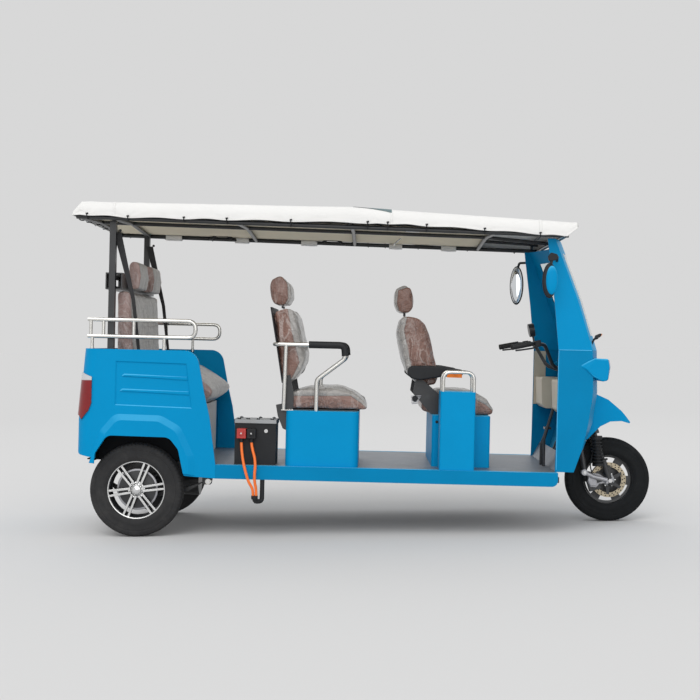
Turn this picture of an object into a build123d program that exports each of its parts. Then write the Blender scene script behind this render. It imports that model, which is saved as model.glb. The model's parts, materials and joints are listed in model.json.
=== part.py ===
from build123d import *
import math
import os

# Three-wheel electric auto rickshaw with three rows of places.
# Millimetres. +X runs forward, +Y to the left, +Z up.
# The body is drawn level, with X measured forward from the rear axle and Z up from the ground,
# and is then turned nose-down about the rear axle, as the unladen vehicle stands.
# The wheels, the fork and the handlebar are drawn on the ground.

# Running gear
wheelbase = 2818.0
stance_angle = 1.9
rear_tyre_radius = 272.0
rear_tyre_width = 102.0
rear_rim_radius = 163.0
rear_wheel_y = 449.0
front_tyre_radius = 257.0
front_tyre_width = 95.0
front_rim_radius = 150.0
bead_sink = 4.0
rim_wall = 5.0
spindle_radius = 12.0
running_gap = 0.1
moving_gap = 6.0
face_gap = 0.3
bend_chords = 3

rear_hub_radius = 40.0
rear_hub_width = 60.0
spoke_pairs = 5
spoke_width = 15.0
spoke_spread = 26.0
spoke_depth = 22.0
drum_radius = 105.0
drum_width = 50.0
backplate_depth = 8.0

axle_tube_radius = 30.0
differential_radius = 88.0
differential_width = 150.0
motor_radius = 82.0
motor_length = 240.0
leaf_y = 330.0
leaf_width = 44.0
leaf_pack = 26.0
leaf_eye_x = 392.0
leaf_rear_x = -215.0
leaf_eye_z = 322.0
leaf_eye_radius = 18.0
short_leaf = 0.72
hanger_plate = 8.0

# Front fork and steering
rake = 17.0
fork_lead = 20.0
fork_leg_y = 92.0
slider_radius = 17.0
slider_foot = 30.0
slider_top = 130.0
stanchion_radius = 12.0
spring_radius = 26.0
spring_wire = 4.5
spring_turns = 8
spring_chords = 10
crown_height = 300.0
crown_thickness = 22.0
crown_rear = 30.0
crown_side = 26.0
steering_limit = 35.0
stem_radius = 13.0
stem_top = 735.0
head_low = 340.0
head_high = 650.0
head_wall = 9.0
disc_radius = 107.0
disc_thickness = 4.0
disc_holes = 12
caliper_half = 18.0
caliper_height = 68.0
web_half = 6.0
window_count = 5
window_width = 62.0
window_rim = 5.0
spring_seat = 8.0
neck_half_width = 45.0
neck_tube = 16.0
clamp_height = 36.0
instrument_radius = 42.0
instrument_depth = 34.0
bar_radius = 11.0
bar_bend = 45.0
grip_radius = 17.0
grip_length = 120.0
# Handlebar, x, y, z in the level body, from the clamp out to the grip's end
bar_route = [
    (2535, 70, 1010),
    (2450, 130, 1040),
    (2385, 210, 1170),
    (2300, 272, 1175),
    (2180, 320, 1150),
]
front_hub_radius = 30.0
front_hub_width = 100.0

# Floor and sills
sill_y = 560.0
sill_width = 40.0
sill_low = 358.0
sill_high = 437.0
sill_rear_x = 466.0
sill_front_x = 2425.0
sill_corner = 35.0
floor_thickness = 6.0
floor_z = sill_high
floor_rear_x = 300.0
toe_run = 56.0
toe_rise = 95.0
rail_half_width = 30.0
rail_y = 330.0
rail_low = 358.0
rail_rear_x = -240.0
cross_member = 40.0
cross_member_x = (-215.0, 200.0, 560.0, 1080.0, 1600.0, 2120.0)
outrigger_x = (620.0, 1340.0, 2060.0, 2395.0)

# Rear body
tub_y = 560.0
tub_wall = 18.0
tub_rear_x = -344.0
tub_rear_top_x = -312.0
tub_bend_z = 680.0
tub_top = 1087.0
tub_corner = 90.0
panel_corner = 85.0
skirt_corner = 40.0
flare_depth = 13.0
flare_share = 0.88
press_depth = 6.0
press_share = 0.965
rib_share = 0.55
tub_low_rear = 480.0
door_setback = 40.0
door_half_width = tub_y - tub_corner - door_setback
bench_z = 755.0
bench_wall = 6.0
bench_setback = 8.0
housing_y = 368.0
housing_wall = 6.0
housing_top = 640.0
housing_front_x = 296.0
housing_rear_x = tub_rear_x + tub_corner
seat_box_front_x = 330.0
arch_corner = 30.0
lamp_proud = 8.0

# Seats
rear_head_y = 210.0
headrest_width = 270.0
box_wall = 3.0
middle_seat_y = -220.0
middle_seat_half = 250.0
middle_box_x = (861.0, 1283.0)
middle_box_y = (-530.0, 90.0)
middle_box_top = 755.0
seat_plate = 8.0
side_strap = 10.0
middle_arm_y = -500.0
middle_arm_gap = 560.0
arm_tube = 13.0
arm_top = 1136.0
arm_bend = 40.0
driver_seat_half = 245.0
driver_box_x = (1712.0, 2055.0)
driver_box_y = (-360.0, 320.0)
driver_box_top = 738.0
recliner_plate = 12.0
armrest_width = 60.0
post_x = (1747.0, 1948.0)
post_y = (-550.0, -372.0)
post_top = 886.0
post_rail_z = 998.0
# Rods under the headrests: x, lowest z, highest z, middle y
headrest_rods = [(810.0, 1351.0, 1364.0, middle_seat_y), (1545.0, 1326.0, 1343.0, 0.0)]

# Roof and pillars
pillar_size = 36.0
pillar_x = -161.0
roof_tube = 13.0
roof_y = 560.0
roof_rear_x = -348.0
roof_front_x = 2440.0
roof_rail_rear_z = 1842.0
roof_fall = 0.0178
roof_lift = 26.0
roof_half_width = 600.0
roof_skin = 6.0
roof_crown = 14.0
liner_thickness = 3.0
channel_low = 1433.0
channel_high = 1530.0
channel_front_x = -108.0
channel_depth = 98.0
channel_wall = 8.0
webbing = 3.0
# Cross bars of the roof from the rear; the last one sits on the shield
roof_bar_x = (roof_rear_x, pillar_x, 560.0, 1220.0, 2040.0, roof_front_x)
# Bows that hold the cover up
roof_bow_x = (-300.0, 560.0, 1205.0, 2040.0, 2400.0)
bow_tube = 10.0
bow_cross = 9.0
bow_bend = 300.0
cross_tube = 12.0
middle_tube = 11.0
bow_y = 566.0
bow_drop = 36.0
# Roof cover sections from the rear: x, height of the lower edge, height and radius of the shoulder
roof_sections = [
    (-373.0, 1846.0, 1876.0, 20.0),
    (-335.0, 1840.0, 1932.0, 60.0),
    (1205.0, 1822.0, 1932.0, 60.0),
    (2440.0, 1786.0, 1872.0, 60.0),
    (2500.0, 1840.0, 1866.0, 18.0),
]

# Luggage rails
guard_y = 530.0
guard_tube = 12.0
guard_top = 1256.0
guard_low = 1160.0
guard_rear_x = -290.0
guard_front_x = 332.0
guard_uprights = (-273.0, -200.0, -25.0)
guard_feet = (-264.0, 152.0)
guard_post = 9.5
pillar_y = guard_y - guard_tube - face_gap - pillar_size / 2
seat_side_room = 56.7
rear_seat_half = pillar_y - pillar_size / 2 - seat_side_room

# Front shield
shield_y = 500.0
shield_wall = 10.0
shield_seam_z = 1140.0
glass_thickness = 5.0
arch_half_width = 150.0
arch_top_z = 760.0
beak_skin = 5.0

# Charge cables: a hand-chosen route each, x, y, z in the level body
cable_radius = 8.0
cable_routes = {
    "charge_cable_rear": [
        (608, -512, 589.8), (608, -512, 560), (613, -528, 520), (622, -556, 478), (634, -574, 432),
        (648, -580, 385), (664, -580, 340), (688, -576, 305), (688, -576, 268),
    ],
    "charge_cable_front": [
        (666, -512, 589.8), (666, -512, 560), (676, -528, 522), (692, -556, 480), (698, -574, 436),
        (694, -580, 390), (696, -580, 345), (706, -576, 305), (706, -576, 268),
    ],
}
# Black conduit from the cables' ends up to the sill
conduit_radius = 13.0
conduit_boot = 19.0
conduit_route = [(697, -576, 267.7), (697, -576, 234), (737, -546, 234), (737, -546, sill_low - 0.1)]


def span(x, y, z):
    """A box between two values on each axis."""
    size = (x[1] - x[0], y[1] - y[0], z[1] - z[0])
    middle = ((x[0] + x[1]) / 2, (y[0] + y[1]) / 2, (z[0] + z[1]) / 2)
    return Pos(*middle) * Box(*size)


def side_view(corners, y, radius=0.0):
    """An outline seen from the side, (x, z), given a width between two Y values."""
    if radius:
        line = FilletPolyline(*corners, radius=radius, close=True)
    else:
        line = Polyline(*corners, close=True)
    face = Pos(0, y[1], 0) * (Plane.XZ * make_face(line))
    return extrude(face, amount=y[1] - y[0], dir=(0, -1, 0))


def plan_view(corners, z, radius=0.0):
    """An outline seen from above, (x, y), given a height between two Z values."""
    if radius:
        line = FilletPolyline(*corners, radius=radius, close=True)
    else:
        line = Polyline(*corners, close=True)
    return extrude(Pos(0, 0, z[0]) * make_face(line), amount=z[1] - z[0], dir=(0, 0, 1))


def bend_points(points, radius):
    """The points of a bent bar: each sharp corner becomes a few chords of its bend."""
    points = [Vector(*point) for point in points]
    route = [points[0]]
    for before, corner, after in zip(points, points[1:], points[2:]):
        back = (before - corner).normalized()
        ahead = (after - corner).normalized()
        turn = math.radians(180 - back.get_angle(ahead))
        chords = round(bend_chords * turn / math.radians(90))
        if chords == 0:
            route.append(corner)
            continue
        middle = corner + (back + ahead).normalized() * (radius / math.cos(turn / 2))
        cut = radius * math.tan(turn / 2)
        first = corner + back * cut - middle
        last = corner + ahead * cut - middle
        for n in range(chords + 1):
            part = turn * n / chords
            route.append(middle + (first * math.sin(turn - part) + last * math.sin(part)) * (1 / math.sin(turn)))
    return route + [points[-1]]


def tube(points, radius, bend=0.0):
    """A round bar along straight runs, bent round its corners."""
    path = Polyline(*bend_points(points, bend)) if bend else Polyline(*points)
    start = Plane(origin=path @ 0, z_dir=path % 0)
    return sweep(start * Circle(radius), path=path, transition=Transition.RIGHT)


def axle_ring(outer, inner, y):
    """A ring about the Y axis between two Y values."""
    ring = Cylinder(outer, y[1] - y[0])
    if inner:
        ring -= Cylinder(inner, y[1] - y[0])
    return Pos(0, (y[0] + y[1]) / 2, 0) * (Rot(90, 0, 0) * ring)


def both_sides(piece):
    """A piece and its mirror image on the other side of the vehicle."""
    return Compound(children=[piece, mirror(piece, about=Plane.XZ)])


def together(*pieces):
    """Solids that share a node without being fused."""
    return Compound(children=[solid for piece in pieces for solid in piece.solids()])


# Wheels, each drawn about the Y axis at the origin
def tyre(radius, width, rim):
    """A tyre with rounded walls over a rim of the given radius."""
    bead = rim - bead_sink
    height = radius - bead
    # Half outline: share of the half width, share of the height above the bead
    half = [(0.72, 0.0), (0.90, 0.18), (1.0, 0.48), (0.94, 0.74), (0.76, 0.92), (0.40, 0.985), (0.0, 1.0)]
    right = [(width / 2 * y, bead + height * z) for y, z in half]
    left = [(-y, z) for y, z in reversed(right[:-1])]
    return revolve(Plane.YZ * make_face(Polyline(*right, *left, close=True)), axis=Axis.Y)


def rim_barrel(rim, width):
    """The open barrel that the tyre sits on, with a lip at each edge."""
    outer = rim - bead_sink
    half = width * 0.36
    return axle_ring(outer, outer - rim_wall, (-half, half))


def rear_rim():
    """Alloy wheel: five pairs of spokes from the hub to the barrel, with the brake drum inside."""
    barrel = rim_barrel(rear_rim_radius, rear_tyre_width)
    outer_face = -rear_tyre_width * 0.36
    wheel = barrel + axle_ring(rear_hub_radius, 0, (outer_face, outer_face + rear_hub_width))
    reach = rear_rim_radius - bead_sink - rim_wall / 2
    start = rear_hub_radius * 0.7
    for pair in range(spoke_pairs):
        for side in (-1, 1):
            spoke = Pos((start + reach) / 2, 0, 0) * Box(reach - start, spoke_depth, spoke_width)
            spoke = Pos(0, outer_face + spoke_depth / 2, side * spoke_spread / 2) * spoke
            wheel += Rot(0, 90 + pair * 360 / spoke_pairs, 0) * spoke
    drum_y = outer_face + rear_hub_width
    wheel += axle_ring(drum_radius, 0, (drum_y - drum_width, drum_y))
    return wheel - axle_ring(spindle_radius + running_gap, 0, (outer_face - 1, drum_y + 1))


def front_rim():
    """Steel wheel with five windows in its web and a wide hub."""
    barrel = rim_barrel(front_rim_radius, front_tyre_width)
    web = axle_ring(front_rim_radius - bead_sink - rim_wall / 2, 0, (-web_half, web_half))
    window_inner = disc_radius * 0.55
    window_outer = front_rim_radius - bead_sink - rim_wall - window_rim
    middle = (window_inner + window_outer) / 2
    for n in range(window_count):
        window = Pos(middle, 0, 0) * Box(window_outer - window_inner, 4 * web_half, window_width)
        web -= Rot(0, 36 + n * 360 / window_count, 0) * window
    half = front_hub_width / 2
    wheel = barrel + web + axle_ring(front_hub_radius, 0, (-half, half))
    return wheel - axle_ring(spindle_radius + running_gap, 0, (-half - 1, half + 1))


def brake_disc():
    """Drilled brake disc bolted to the right side of the front hub."""
    low = -front_hub_width / 2 - disc_thickness
    disc = axle_ring(disc_radius, front_hub_radius * 0.8, (low, low + disc_thickness))
    for n in range(disc_holes):
        hole = Pos(disc_radius - 16, low, 0) * (Rot(90, 0, 0) * Cylinder(6, 20))
        disc -= Rot(0, n * 360 / disc_holes, 0) * hole
    return disc


# Rear axle and springs, drawn in the body's own frame about the rear axle
def rear_axle():
    """Axle tube with the differential, the motor, the backing plates and the wheel spindles."""
    outer = rear_wheel_y + rear_tyre_width * 0.36
    drum_inner_y = outer - rear_hub_width - moving_gap
    half = differential_width / 2
    axle = axle_ring(axle_tube_radius, 0, (-drum_inner_y, drum_inner_y))
    axle += axle_ring(differential_radius, 0, (-half, half))
    axle += axle_ring(spindle_radius, 0, (-outer, outer))
    for y in (drum_inner_y - backplate_depth, -drum_inner_y):
        axle += axle_ring(drum_radius - 4, 0, (y, y + backplate_depth))
    motor_x = differential_radius * 0.7
    axle += Pos(motor_x + motor_length / 2, 0, 0) * (Rot(0, 90, 0) * Cylinder(motor_radius, motor_length))
    return Pos(0, 0, rear_tyre_radius) * axle


def leaf_spring():
    """One pack of leaves on the right side, slung under the axle, with an eye at each end."""
    seat = rear_tyre_radius - axle_tube_radius - face_gap
    rise = leaf_eye_z - seat
    outline = []
    for eye_x in (leaf_eye_x, leaf_rear_x):
        ahead = (math.copysign(1, eye_x), 0)
        low = (eye_x * short_leaf, seat - leaf_pack + rise * short_leaf**2)
        outline += [
            TangentArc((0, seat), (eye_x, leaf_eye_z), tangent=ahead),
            TangentArc((0, seat - leaf_pack), low, tangent=ahead),
            Line((eye_x, leaf_eye_z), low),
        ]
    y = (-leaf_y - leaf_width / 2, -leaf_y + leaf_width / 2)
    face = Pos(0, y[1], 0) * (Plane.XZ * make_face(outline))
    pack = extrude(face, amount=leaf_width, dir=(0, -1, 0))
    for x in (leaf_rear_x, leaf_eye_x):
        pack += Pos(x, 0, leaf_eye_z) * axle_ring(leaf_eye_radius, 0, y)
    return pack


def chassis_frame():
    """Two long rails and cross members under the floor, the spring hangers and the steering head."""
    high = floor_z - floor_thickness
    y = (rail_y - rail_half_width, rail_y + rail_half_width)
    rail = span((rail_rear_x, sill_front_x), y, (rail_low, high))
    frame = rail + mirror(rail, about=Plane.XZ)
    half = cross_member / 2
    for x in cross_member_x:
        frame += span((x - half, x + half), (-y[0] - 1, y[0] + 1), (rail_low + 10, high))
    front = sill_front_x + half
    frame += span((front - half, front + half), (-y[1], y[1]), (rail_low, high - 40))
    for x in outrigger_x:
        arm = span((x - half, x + half), (y[1] - 1, sill_y - sill_width), (rail_low + 10, high))
        frame += arm + mirror(arm, about=Plane.XZ)
    for x in (leaf_rear_x, leaf_eye_x):
        for edge in (-leaf_width / 2 - hanger_plate, leaf_width / 2 + face_gap):
            low = leaf_eye_z - leaf_eye_radius - 6
            corners = [(x - 22, low), (x + 22, low), (x + 32, rail_low + 6), (x - 24, rail_low + 6)]
            plate = side_view(corners, (-leaf_y + edge, -leaf_y + edge + hanger_plate - face_gap))
            frame += plate + mirror(plate, about=Plane.XZ)
    return in_stance(frame) + steering_head()


def steering_head():
    """Steering head and its two down tubes from the front cross member."""
    middle = (head_low + head_high) / 2
    neck = fork_frame() * (Pos(0, 0, middle) * Cylinder(stem_radius + head_wall, head_high - head_low))
    low = (fork_frame() * Pos(0, 0, head_low + 70)).position
    for y in (-neck_half_width, neck_half_width):
        base = to_stance(Vector(sill_front_x + cross_member / 2, y, rail_low + 20))
        knee = to_stance(Vector(sill_front_x + 95, y * 0.8, 575))
        neck += tube([base, knee, low], neck_tube, 60)
    bore = Cylinder(stem_radius + running_gap, 2 * (head_high - head_low))
    return neck - fork_frame() * (Pos(0, 0, middle) * bore)


# Front fork, drawn about the steering axis and then set on the front axle
def fork_frame():
    """The place of the steering axis: Z up along the axis, X square to it, origin beside the axle."""
    lean = math.radians(rake)
    x = wheelbase - fork_lead * math.cos(lean)
    z = front_tyre_radius - fork_lead * math.sin(lean)
    return Location((x, 0, z), (0, -rake, 0))


def fork():
    """Sliders with the axle lugs, stanchions, crown, stem, wheel spindle and brake caliper."""
    legs = Part()
    for side in (-1, 1):
        y = side * fork_leg_y
        slider = Cylinder(slider_radius, slider_top + slider_foot)
        stanchion = Cylinder(stanchion_radius, crown_height - slider_top + 2)
        legs += Pos(fork_lead, y, (slider_top - slider_foot) / 2) * slider
        legs += Pos(fork_lead, y, (slider_top + crown_height) / 2) * stanchion
        legs += Pos(fork_lead, y, slider_top) * Cylinder(spring_radius + 2, spring_seat)
    wide = fork_leg_y + crown_side
    ahead = fork_lead + crown_side
    corners = [
        (-crown_rear, -wide * 0.35), (fork_lead, -wide), (ahead, -wide),
        (ahead, wide), (fork_lead, wide), (-crown_rear, wide * 0.35),
    ]
    legs += plan_view(corners, (crown_height, crown_height + crown_thickness), 10)
    legs += Pos(0, 0, (crown_height + stem_top) / 2) * Cylinder(stem_radius, stem_top - crown_height)
    legs += Pos(fork_lead, 0, 0) * axle_ring(spindle_radius, 0, (-fork_leg_y, fork_leg_y))
    return fork_frame() * (legs + brake_caliper())


def fork_spring(side):
    """One coil spring round a stanchion, from the slider's seat to the crown."""
    low = slider_top + spring_seat / 2 + face_gap
    high = crown_height - face_gap
    rise = high - low - 2 * spring_wire
    coil_radius = spring_radius - spring_wire
    steps = spring_turns * spring_chords
    route = []
    for n in range(steps + 1):
        turn = 2 * math.pi * n / spring_chords
        route.append((coil_radius * math.cos(turn), coil_radius * math.sin(turn), rise * n / steps))
    path = Polyline(*route)
    start = Plane(origin=path @ 0, z_dir=path % 0)
    coil = sweep(start * RegularPolygon(spring_wire, 6), path=path, transition=Transition.RIGHT)
    return fork_frame() * (Pos(fork_lead, side * fork_leg_y, low + spring_wire) * coil)


def brake_caliper():
    """Caliper on its bracket behind the right leg, straddling the disc."""
    disc_y = -front_hub_width / 2 - disc_thickness / 2
    rear = fork_lead - disc_radius - moving_gap
    front = rear + 52
    y = (disc_y - caliper_half, disc_y + caliper_half)
    slot = disc_thickness / 2 + moving_gap
    body = span((rear - 18, front), y, (-caliper_height / 2, caliper_height / 2))
    body -= span((rear, front + 1), (disc_y - slot, disc_y + slot), (-caliper_height, caliper_height))
    bracket_y = (-fork_leg_y - 6, y[0] + 8)
    return body + span((front - 14, fork_lead), bracket_y, (8, 30))


def handlebar():
    """Clamp on the stem and one bent bar a side, swept up and back to the grips."""
    place = fork_frame() * Pos(0, 0, stem_top - clamp_height / 2)
    bars = place * (Cylinder(stem_radius + 10, clamp_height) - Cylinder(stem_radius, 2 * clamp_height))
    start = place.position
    for side in (-1, 1):
        path = [Vector(start.X, side * (stem_radius + 6), start.Z)]
        path += [to_stance(Vector(x, side * y, z)) for x, y, z in bar_route]
        bars += tube(path, bar_radius, bar_bend)
    return bars + instrument()


def instrument():
    """Small instrument on a stalk above the left grip."""
    base = to_stance(Vector(*bar_route[2]))
    stalk = tube([base, base + Vector(-12, 0, 60)], 6)
    case = Cylinder(instrument_radius, instrument_depth)
    return stalk + Pos(base.X - 20, base.Y, base.Z + 50 + instrument_radius) * (Rot(0, 80, 0) * case)


def grips():
    """A rubber grip on each end of the bar."""
    pieces = []
    for side in (-1, 1):
        inner, end = (to_stance(Vector(x, side * y, z)) for x, y, z in bar_route[-2:])
        along = (end - inner).normalized()
        line = Plane(origin=end - along * grip_length, z_dir=along)
        sleeve = extrude(line * Circle(grip_radius), amount=grip_length + 6, dir=along)
        sleeve -= extrude(line * Circle(bar_radius), amount=grip_length, dir=along)
        pieces.append(sleeve)
    return together(*pieces)


# The body, drawn level
def to_stance(point):
    """A point of the level body, as the vehicle stands."""
    turn = math.radians(stance_angle)
    dx = point.X
    dz = point.Z - rear_tyre_radius
    x = dx * math.cos(turn) + dz * math.sin(turn)
    z = dz * math.cos(turn) - dx * math.sin(turn)
    return Vector(x, point.Y, z + rear_tyre_radius)


def in_stance(piece):
    """A piece of the level body, turned nose-down about the rear axle."""
    turned = Rot(0, stance_angle, 0) * (Pos(0, 0, -rear_tyre_radius) * piece)
    return Pos(0, 0, rear_tyre_radius) * turned


def floor_plate():
    """Steel floor between the sills, with the sloping toe board inside the shield."""
    half = sill_y - sill_width
    under = floor_z - floor_thickness
    plate = span((floor_rear_x, sill_front_x), (-half, half), (under, floor_z))
    half = shield_y - shield_wall
    x = sill_front_x
    corners = [
        (x - 1, under), (x, under), (x + toe_run, under + toe_rise),
        (x + toe_run - floor_thickness, floor_z + toe_rise), (x - 1, floor_z),
    ]
    return plate + side_view(corners, (-half, half))


def side_sills():
    """Folded box sills along both sides, rounded under the front end."""
    y = (-sill_y, -sill_y + sill_width)
    x = (sill_rear_x, sill_front_x)
    outline = [(x[0], sill_low), (x[1], sill_low), (x[1], sill_high), (x[0], sill_high)]
    sill = side_view(outline, y)
    corner = sill.edges().filter_by(Axis.Y).sort_by(Axis.X)[-2:].sort_by(Axis.Z)[0]
    return both_sides(fillet(corner, sill_corner))


# Side panel seen from the side: x, z, corner radius
panel_outline = [
    (tub_rear_x - 6, tub_low_rear, skirt_corner), (tub_rear_x - 6, tub_top, 0), (345, tub_top, panel_corner),
    (393, 848, 0), (426, 711, 0), (sill_rear_x, sill_high, 0), (sill_rear_x, sill_low, 0), (300, sill_low + 10, 0),
]
# Wheel arch seen from the side: x, z, corner radius
arch_outline = [
    (-240, 200, 0), (-228, 486, 20), (-160, 592, 55), (198, 588, 60), (252, 520, 50), (302, 300, 0), (315, 200, 0),
]
# Raised band round the arch: x, z, corner radius
flare_outline = [
    (-262, 430, 0), (-200, 620, 60), (-120, 716, 70), (150, 712, 90), (262, 650, 90), (345, 480, 60), (352, 372, 0),
]
flare_middle = (35.0, 430.0)
# Sunk field of the side panel: x, z
field_outline = [(-120, 766), (325, 756), (290, 1012), (-120, 1019)]
# Raised ribs in the field: x, z
rib_outlines = [
    [(-85, 935), (300, 910), (296, 936), (-72, 948)],
    [(-95, 848), (312, 826), (308, 853), (-80, 862)],
]
# Tail lamp seen from the side: x, z
lamp_outline = [
    (-420, 700), (-332, 700), (-315, 679), (-270, 732), (-254, 775), (-254, 925), (-318, 948), (-420, 948),
]


def rounded_view(corners, y):
    """A face seen from the side at one Y value, its corners given as x, z and radius."""
    line = FilletPolyline(*[(x, z) for x, z, _ in corners], radius=[r for _, _, r in corners], close=True)
    return Pos(0, y, 0) * (Plane.XZ * make_face(line))


def pressing(corners, y, share):
    """A form pressed in the side panel, between two Y values, smaller at the second."""
    x0 = sum(x for x, _ in corners) / len(corners)
    z0 = sum(z for _, z in corners) / len(corners)
    small = [(x0 + (x - x0) * press_share, z0 + (z - z0) * share) for x, z in corners]
    faces = [Pos(0, level, 0) * (Plane.XZ * make_face(Polyline(*line, close=True)))
             for level, line in zip(y, (corners, small))]
    return loft(faces, ruled=True)


# Rear edge of the tub: z, x
tub_rear_edge = [(0.0, tub_rear_x), (tub_bend_z, tub_rear_x), (tub_top, tub_rear_top_x)]


def corner_plan(grow):
    """The rear right corner of the tub as a filled form, grown outward by an amount."""
    radius = tub_corner + grow
    bend = radius * (1 - math.sqrt(0.5))
    y = -tub_y - grow
    faces = []
    for z, rear_x in tub_rear_edge:
        x = rear_x - grow
        outline = [
            Line((sill_rear_x, -door_half_width), (sill_rear_x, y)),
            Line((sill_rear_x, y), (x + radius, y)),
            ThreePointArc((x + radius, y), (x + bend, y + bend), (x, y + radius)),
            Line((x, y + radius), (x, -door_half_width)),
            Line((x, -door_half_width), (sill_rear_x, -door_half_width)),
        ]
        faces.append(Pos(0, 0, z) * make_face(outline))
    return loft(faces, ruled=True)


def tail_lamp():
    """Lamp wrapped round the rear right corner."""
    body = corner_plan(lamp_proud) - corner_plan(-tub_wall)
    return body & side_view(lamp_outline, (-tub_y - 50, -door_half_width - 10))


def rear_side(side):
    """One side of the rear body, wrapped round the rear corner, with a flared arch and a pressed field."""
    shell = corner_plan(0) - corner_plan(-tub_wall)
    panel = rounded_view(panel_outline, 0)
    shell &= extrude(panel, amount=tub_y + 1, dir=(0, -1, 0))
    x0, z0 = flare_middle
    small = [(x0 + (x - x0) * flare_share, z0 + (z - z0) * flare_share, r * flare_share)
             for x, z, r in flare_outline]
    y = -tub_y
    flare = loft([rounded_view(flare_outline, y), rounded_view(small, y - flare_depth)], ruled=True)
    shell += flare & span((-400, 500), (-tub_y - 2 * flare_depth, y + 1), (sill_low + 10, tub_top))
    shell -= pressing(field_outline, (y, y + press_depth), press_share)
    for rib in rib_outlines:
        shell += pressing(rib, (y + press_depth + 1, y + 0.5), rib_share)
    arch = rounded_view(arch_outline, 0)
    shell -= extrude(arch, amount=2 * tub_y, dir=(0, -1, 0))
    shell -= tail_lamp()
    return shell if side < 0 else mirror(shell, about=Plane.XZ)


def rear_door():
    """Rear panel between the two corner pieces, following their rear edge."""
    edge = [(tub_low_rear, tub_rear_x), (tub_bend_z, tub_rear_x), (tub_top, tub_rear_top_x)]
    outer = [(x, z) for z, x in edge]
    inner = [(x + tub_wall, z) for z, x in reversed(edge)]
    return side_view(outer + inner, (-door_half_width, door_half_width))


def rear_inner_body():
    """Wheel housings, the bench across them and the front wall of the seat box, in folded sheet."""
    low = floor_z
    x = (housing_rear_x, housing_front_x)
    side = -tub_y + tub_wall
    wall = housing_wall
    housing = span(x, (side, -housing_y), (low, housing_top))
    housing -= span((x[0] + wall, x[1] - wall), (side - 1, -housing_y - wall), (low - 1, housing_top - wall))
    rear = tub_rear_x + tub_wall + bench_setback
    bench = plan_view(
        [(rear, side), (seat_box_front_x, side), (seat_box_front_x, -side), (rear, -side)],
        (bench_z - bench_wall, bench_z),
    )
    bench = fillet(bench.edges().filter_by(Axis.Z).sort_by(Axis.X)[:2], tub_corner - tub_wall)
    front = span((seat_box_front_x - bench_wall, seat_box_front_x), (side, -side), (low, bench_z - 1))
    floor = span((rear, floor_rear_x), (-housing_y, housing_y), (low - wall, low))
    web = span((x[0], x[0] + wall), (side + 60, -housing_y), (housing_top - 1, bench_z - bench_wall + 1))
    inner = housing + web
    return bench + front + floor + inner + mirror(inner, about=Plane.XZ)


def roof_rail_z(x):
    """Height of the roof's side rails, which fall a little towards the front."""
    return roof_rail_rear_z - (x - roof_rear_x) * roof_fall


def rear_pillars():
    """Square pillars from the bench to the roof, joined by the channel behind the headrests."""
    half = pillar_size / 2
    top = roof_rail_z(pillar_x) - cross_tube + roof_lift * (roof_y - pillar_y - half) / roof_y
    post = span((pillar_x - half, pillar_x + half), (-pillar_y - half, -pillar_y + half), (bench_z, top))
    inner = pillar_y - half
    x = (channel_front_x - channel_depth, channel_front_x)
    wall = channel_wall
    channel = span(x, (-inner, inner), (channel_low, channel_high))
    channel -= span((x[0] + wall, x[1] - wall), (-pillar_y, pillar_y), (channel_low + wall, channel_high - wall))
    for y in (-rear_head_y, rear_head_y):
        channel -= span((x[0] - 1, x[0] + 2 * wall), (y - 60, y + 60), (channel_low + 30, channel_high - 30))
    return post + mirror(post, about=Plane.XZ) + channel


def bar_height(x):
    """Rise of the roof's cross bars at the middle, none on the front bar, which sits on the shield."""
    return 0 if x >= roof_front_x else roof_lift


def roof_frame():
    """Side rails, middle rail, cross bars and the upper bows that hold the cover, in round tube."""
    bars = []
    for y in (-roof_y, roof_y):
        ends = [(x, y, roof_rail_z(x)) for x in (roof_rear_x - roof_tube, roof_front_x + roof_tube)]
        bars.append(tube(ends, roof_tube))
        rail = [(x, y * bow_y / roof_y, shoulder - bow_drop) for x, _, shoulder, _ in roof_sections[1:-1]]
        bars.append(tube(rail, bow_tube, bow_bend))
    middle = [(x, 0, roof_rail_z(x) + bar_height(x)) for x in roof_bar_x]
    bars.append(tube([middle[0], middle[-2], middle[-1]], middle_tube, bow_bend))
    for x in roof_bar_x:
        z = roof_rail_z(x)
        if bar_height(x):
            bars.append(tube([(x, -roof_y, z), (x, 0, z + bar_height(x)), (x, roof_y, z)], cross_tube, bow_bend))
        else:
            bars.append(tube([(x, -roof_y, z), (x, roof_y, z)], cross_tube))
    for x in roof_bow_x:
        low = roof_rail_z(x)
        top = shoulder_height(x) - bow_drop
        crown = shoulder_height(x) + roof_crown - roof_skin - bow_cross - face_gap
        bars.append(tube([(x, -bow_y, top), (x, 0, crown), (x, bow_y, top)], bow_cross, bow_bend))
        for side in (-1, 1):
            bars.append(tube([(x, side * roof_y, low), (x, side * bow_y, top)], bow_cross - 1))
    return Part() + bars


def roof_liner():
    """Thin lining sheet that lies on the cross bars, under the cover."""
    half = roof_y - roof_tube - 2
    rise = roof_tube + face_gap
    faces = []
    for x in (roof_rear_x, roof_bar_x[-2]):
        z = roof_rail_z(x) + rise
        ridge = z + roof_lift
        top = liner_thickness
        corners = [(-half, z), (0, ridge), (half, z), (half, z + top), (0, ridge + top), (-half, z + top)]
        plane = Plane(origin=(x, 0, 0), x_dir=(0, 1, 0), z_dir=(1, 0, 0))
        faces.append(plane * make_face(Polyline(*corners, close=True)))
    return loft(faces, ruled=True)


def shoulder_height(x):
    """Height of the cover's shoulder at one place along the roof."""
    for (x0, _, z0, _), (x1, _, z1, _) in zip(roof_sections, roof_sections[1:]):
        if x <= x1:
            return z0 + (z1 - z0) * (x - x0) / (x1 - x0)
    return z1


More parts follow.
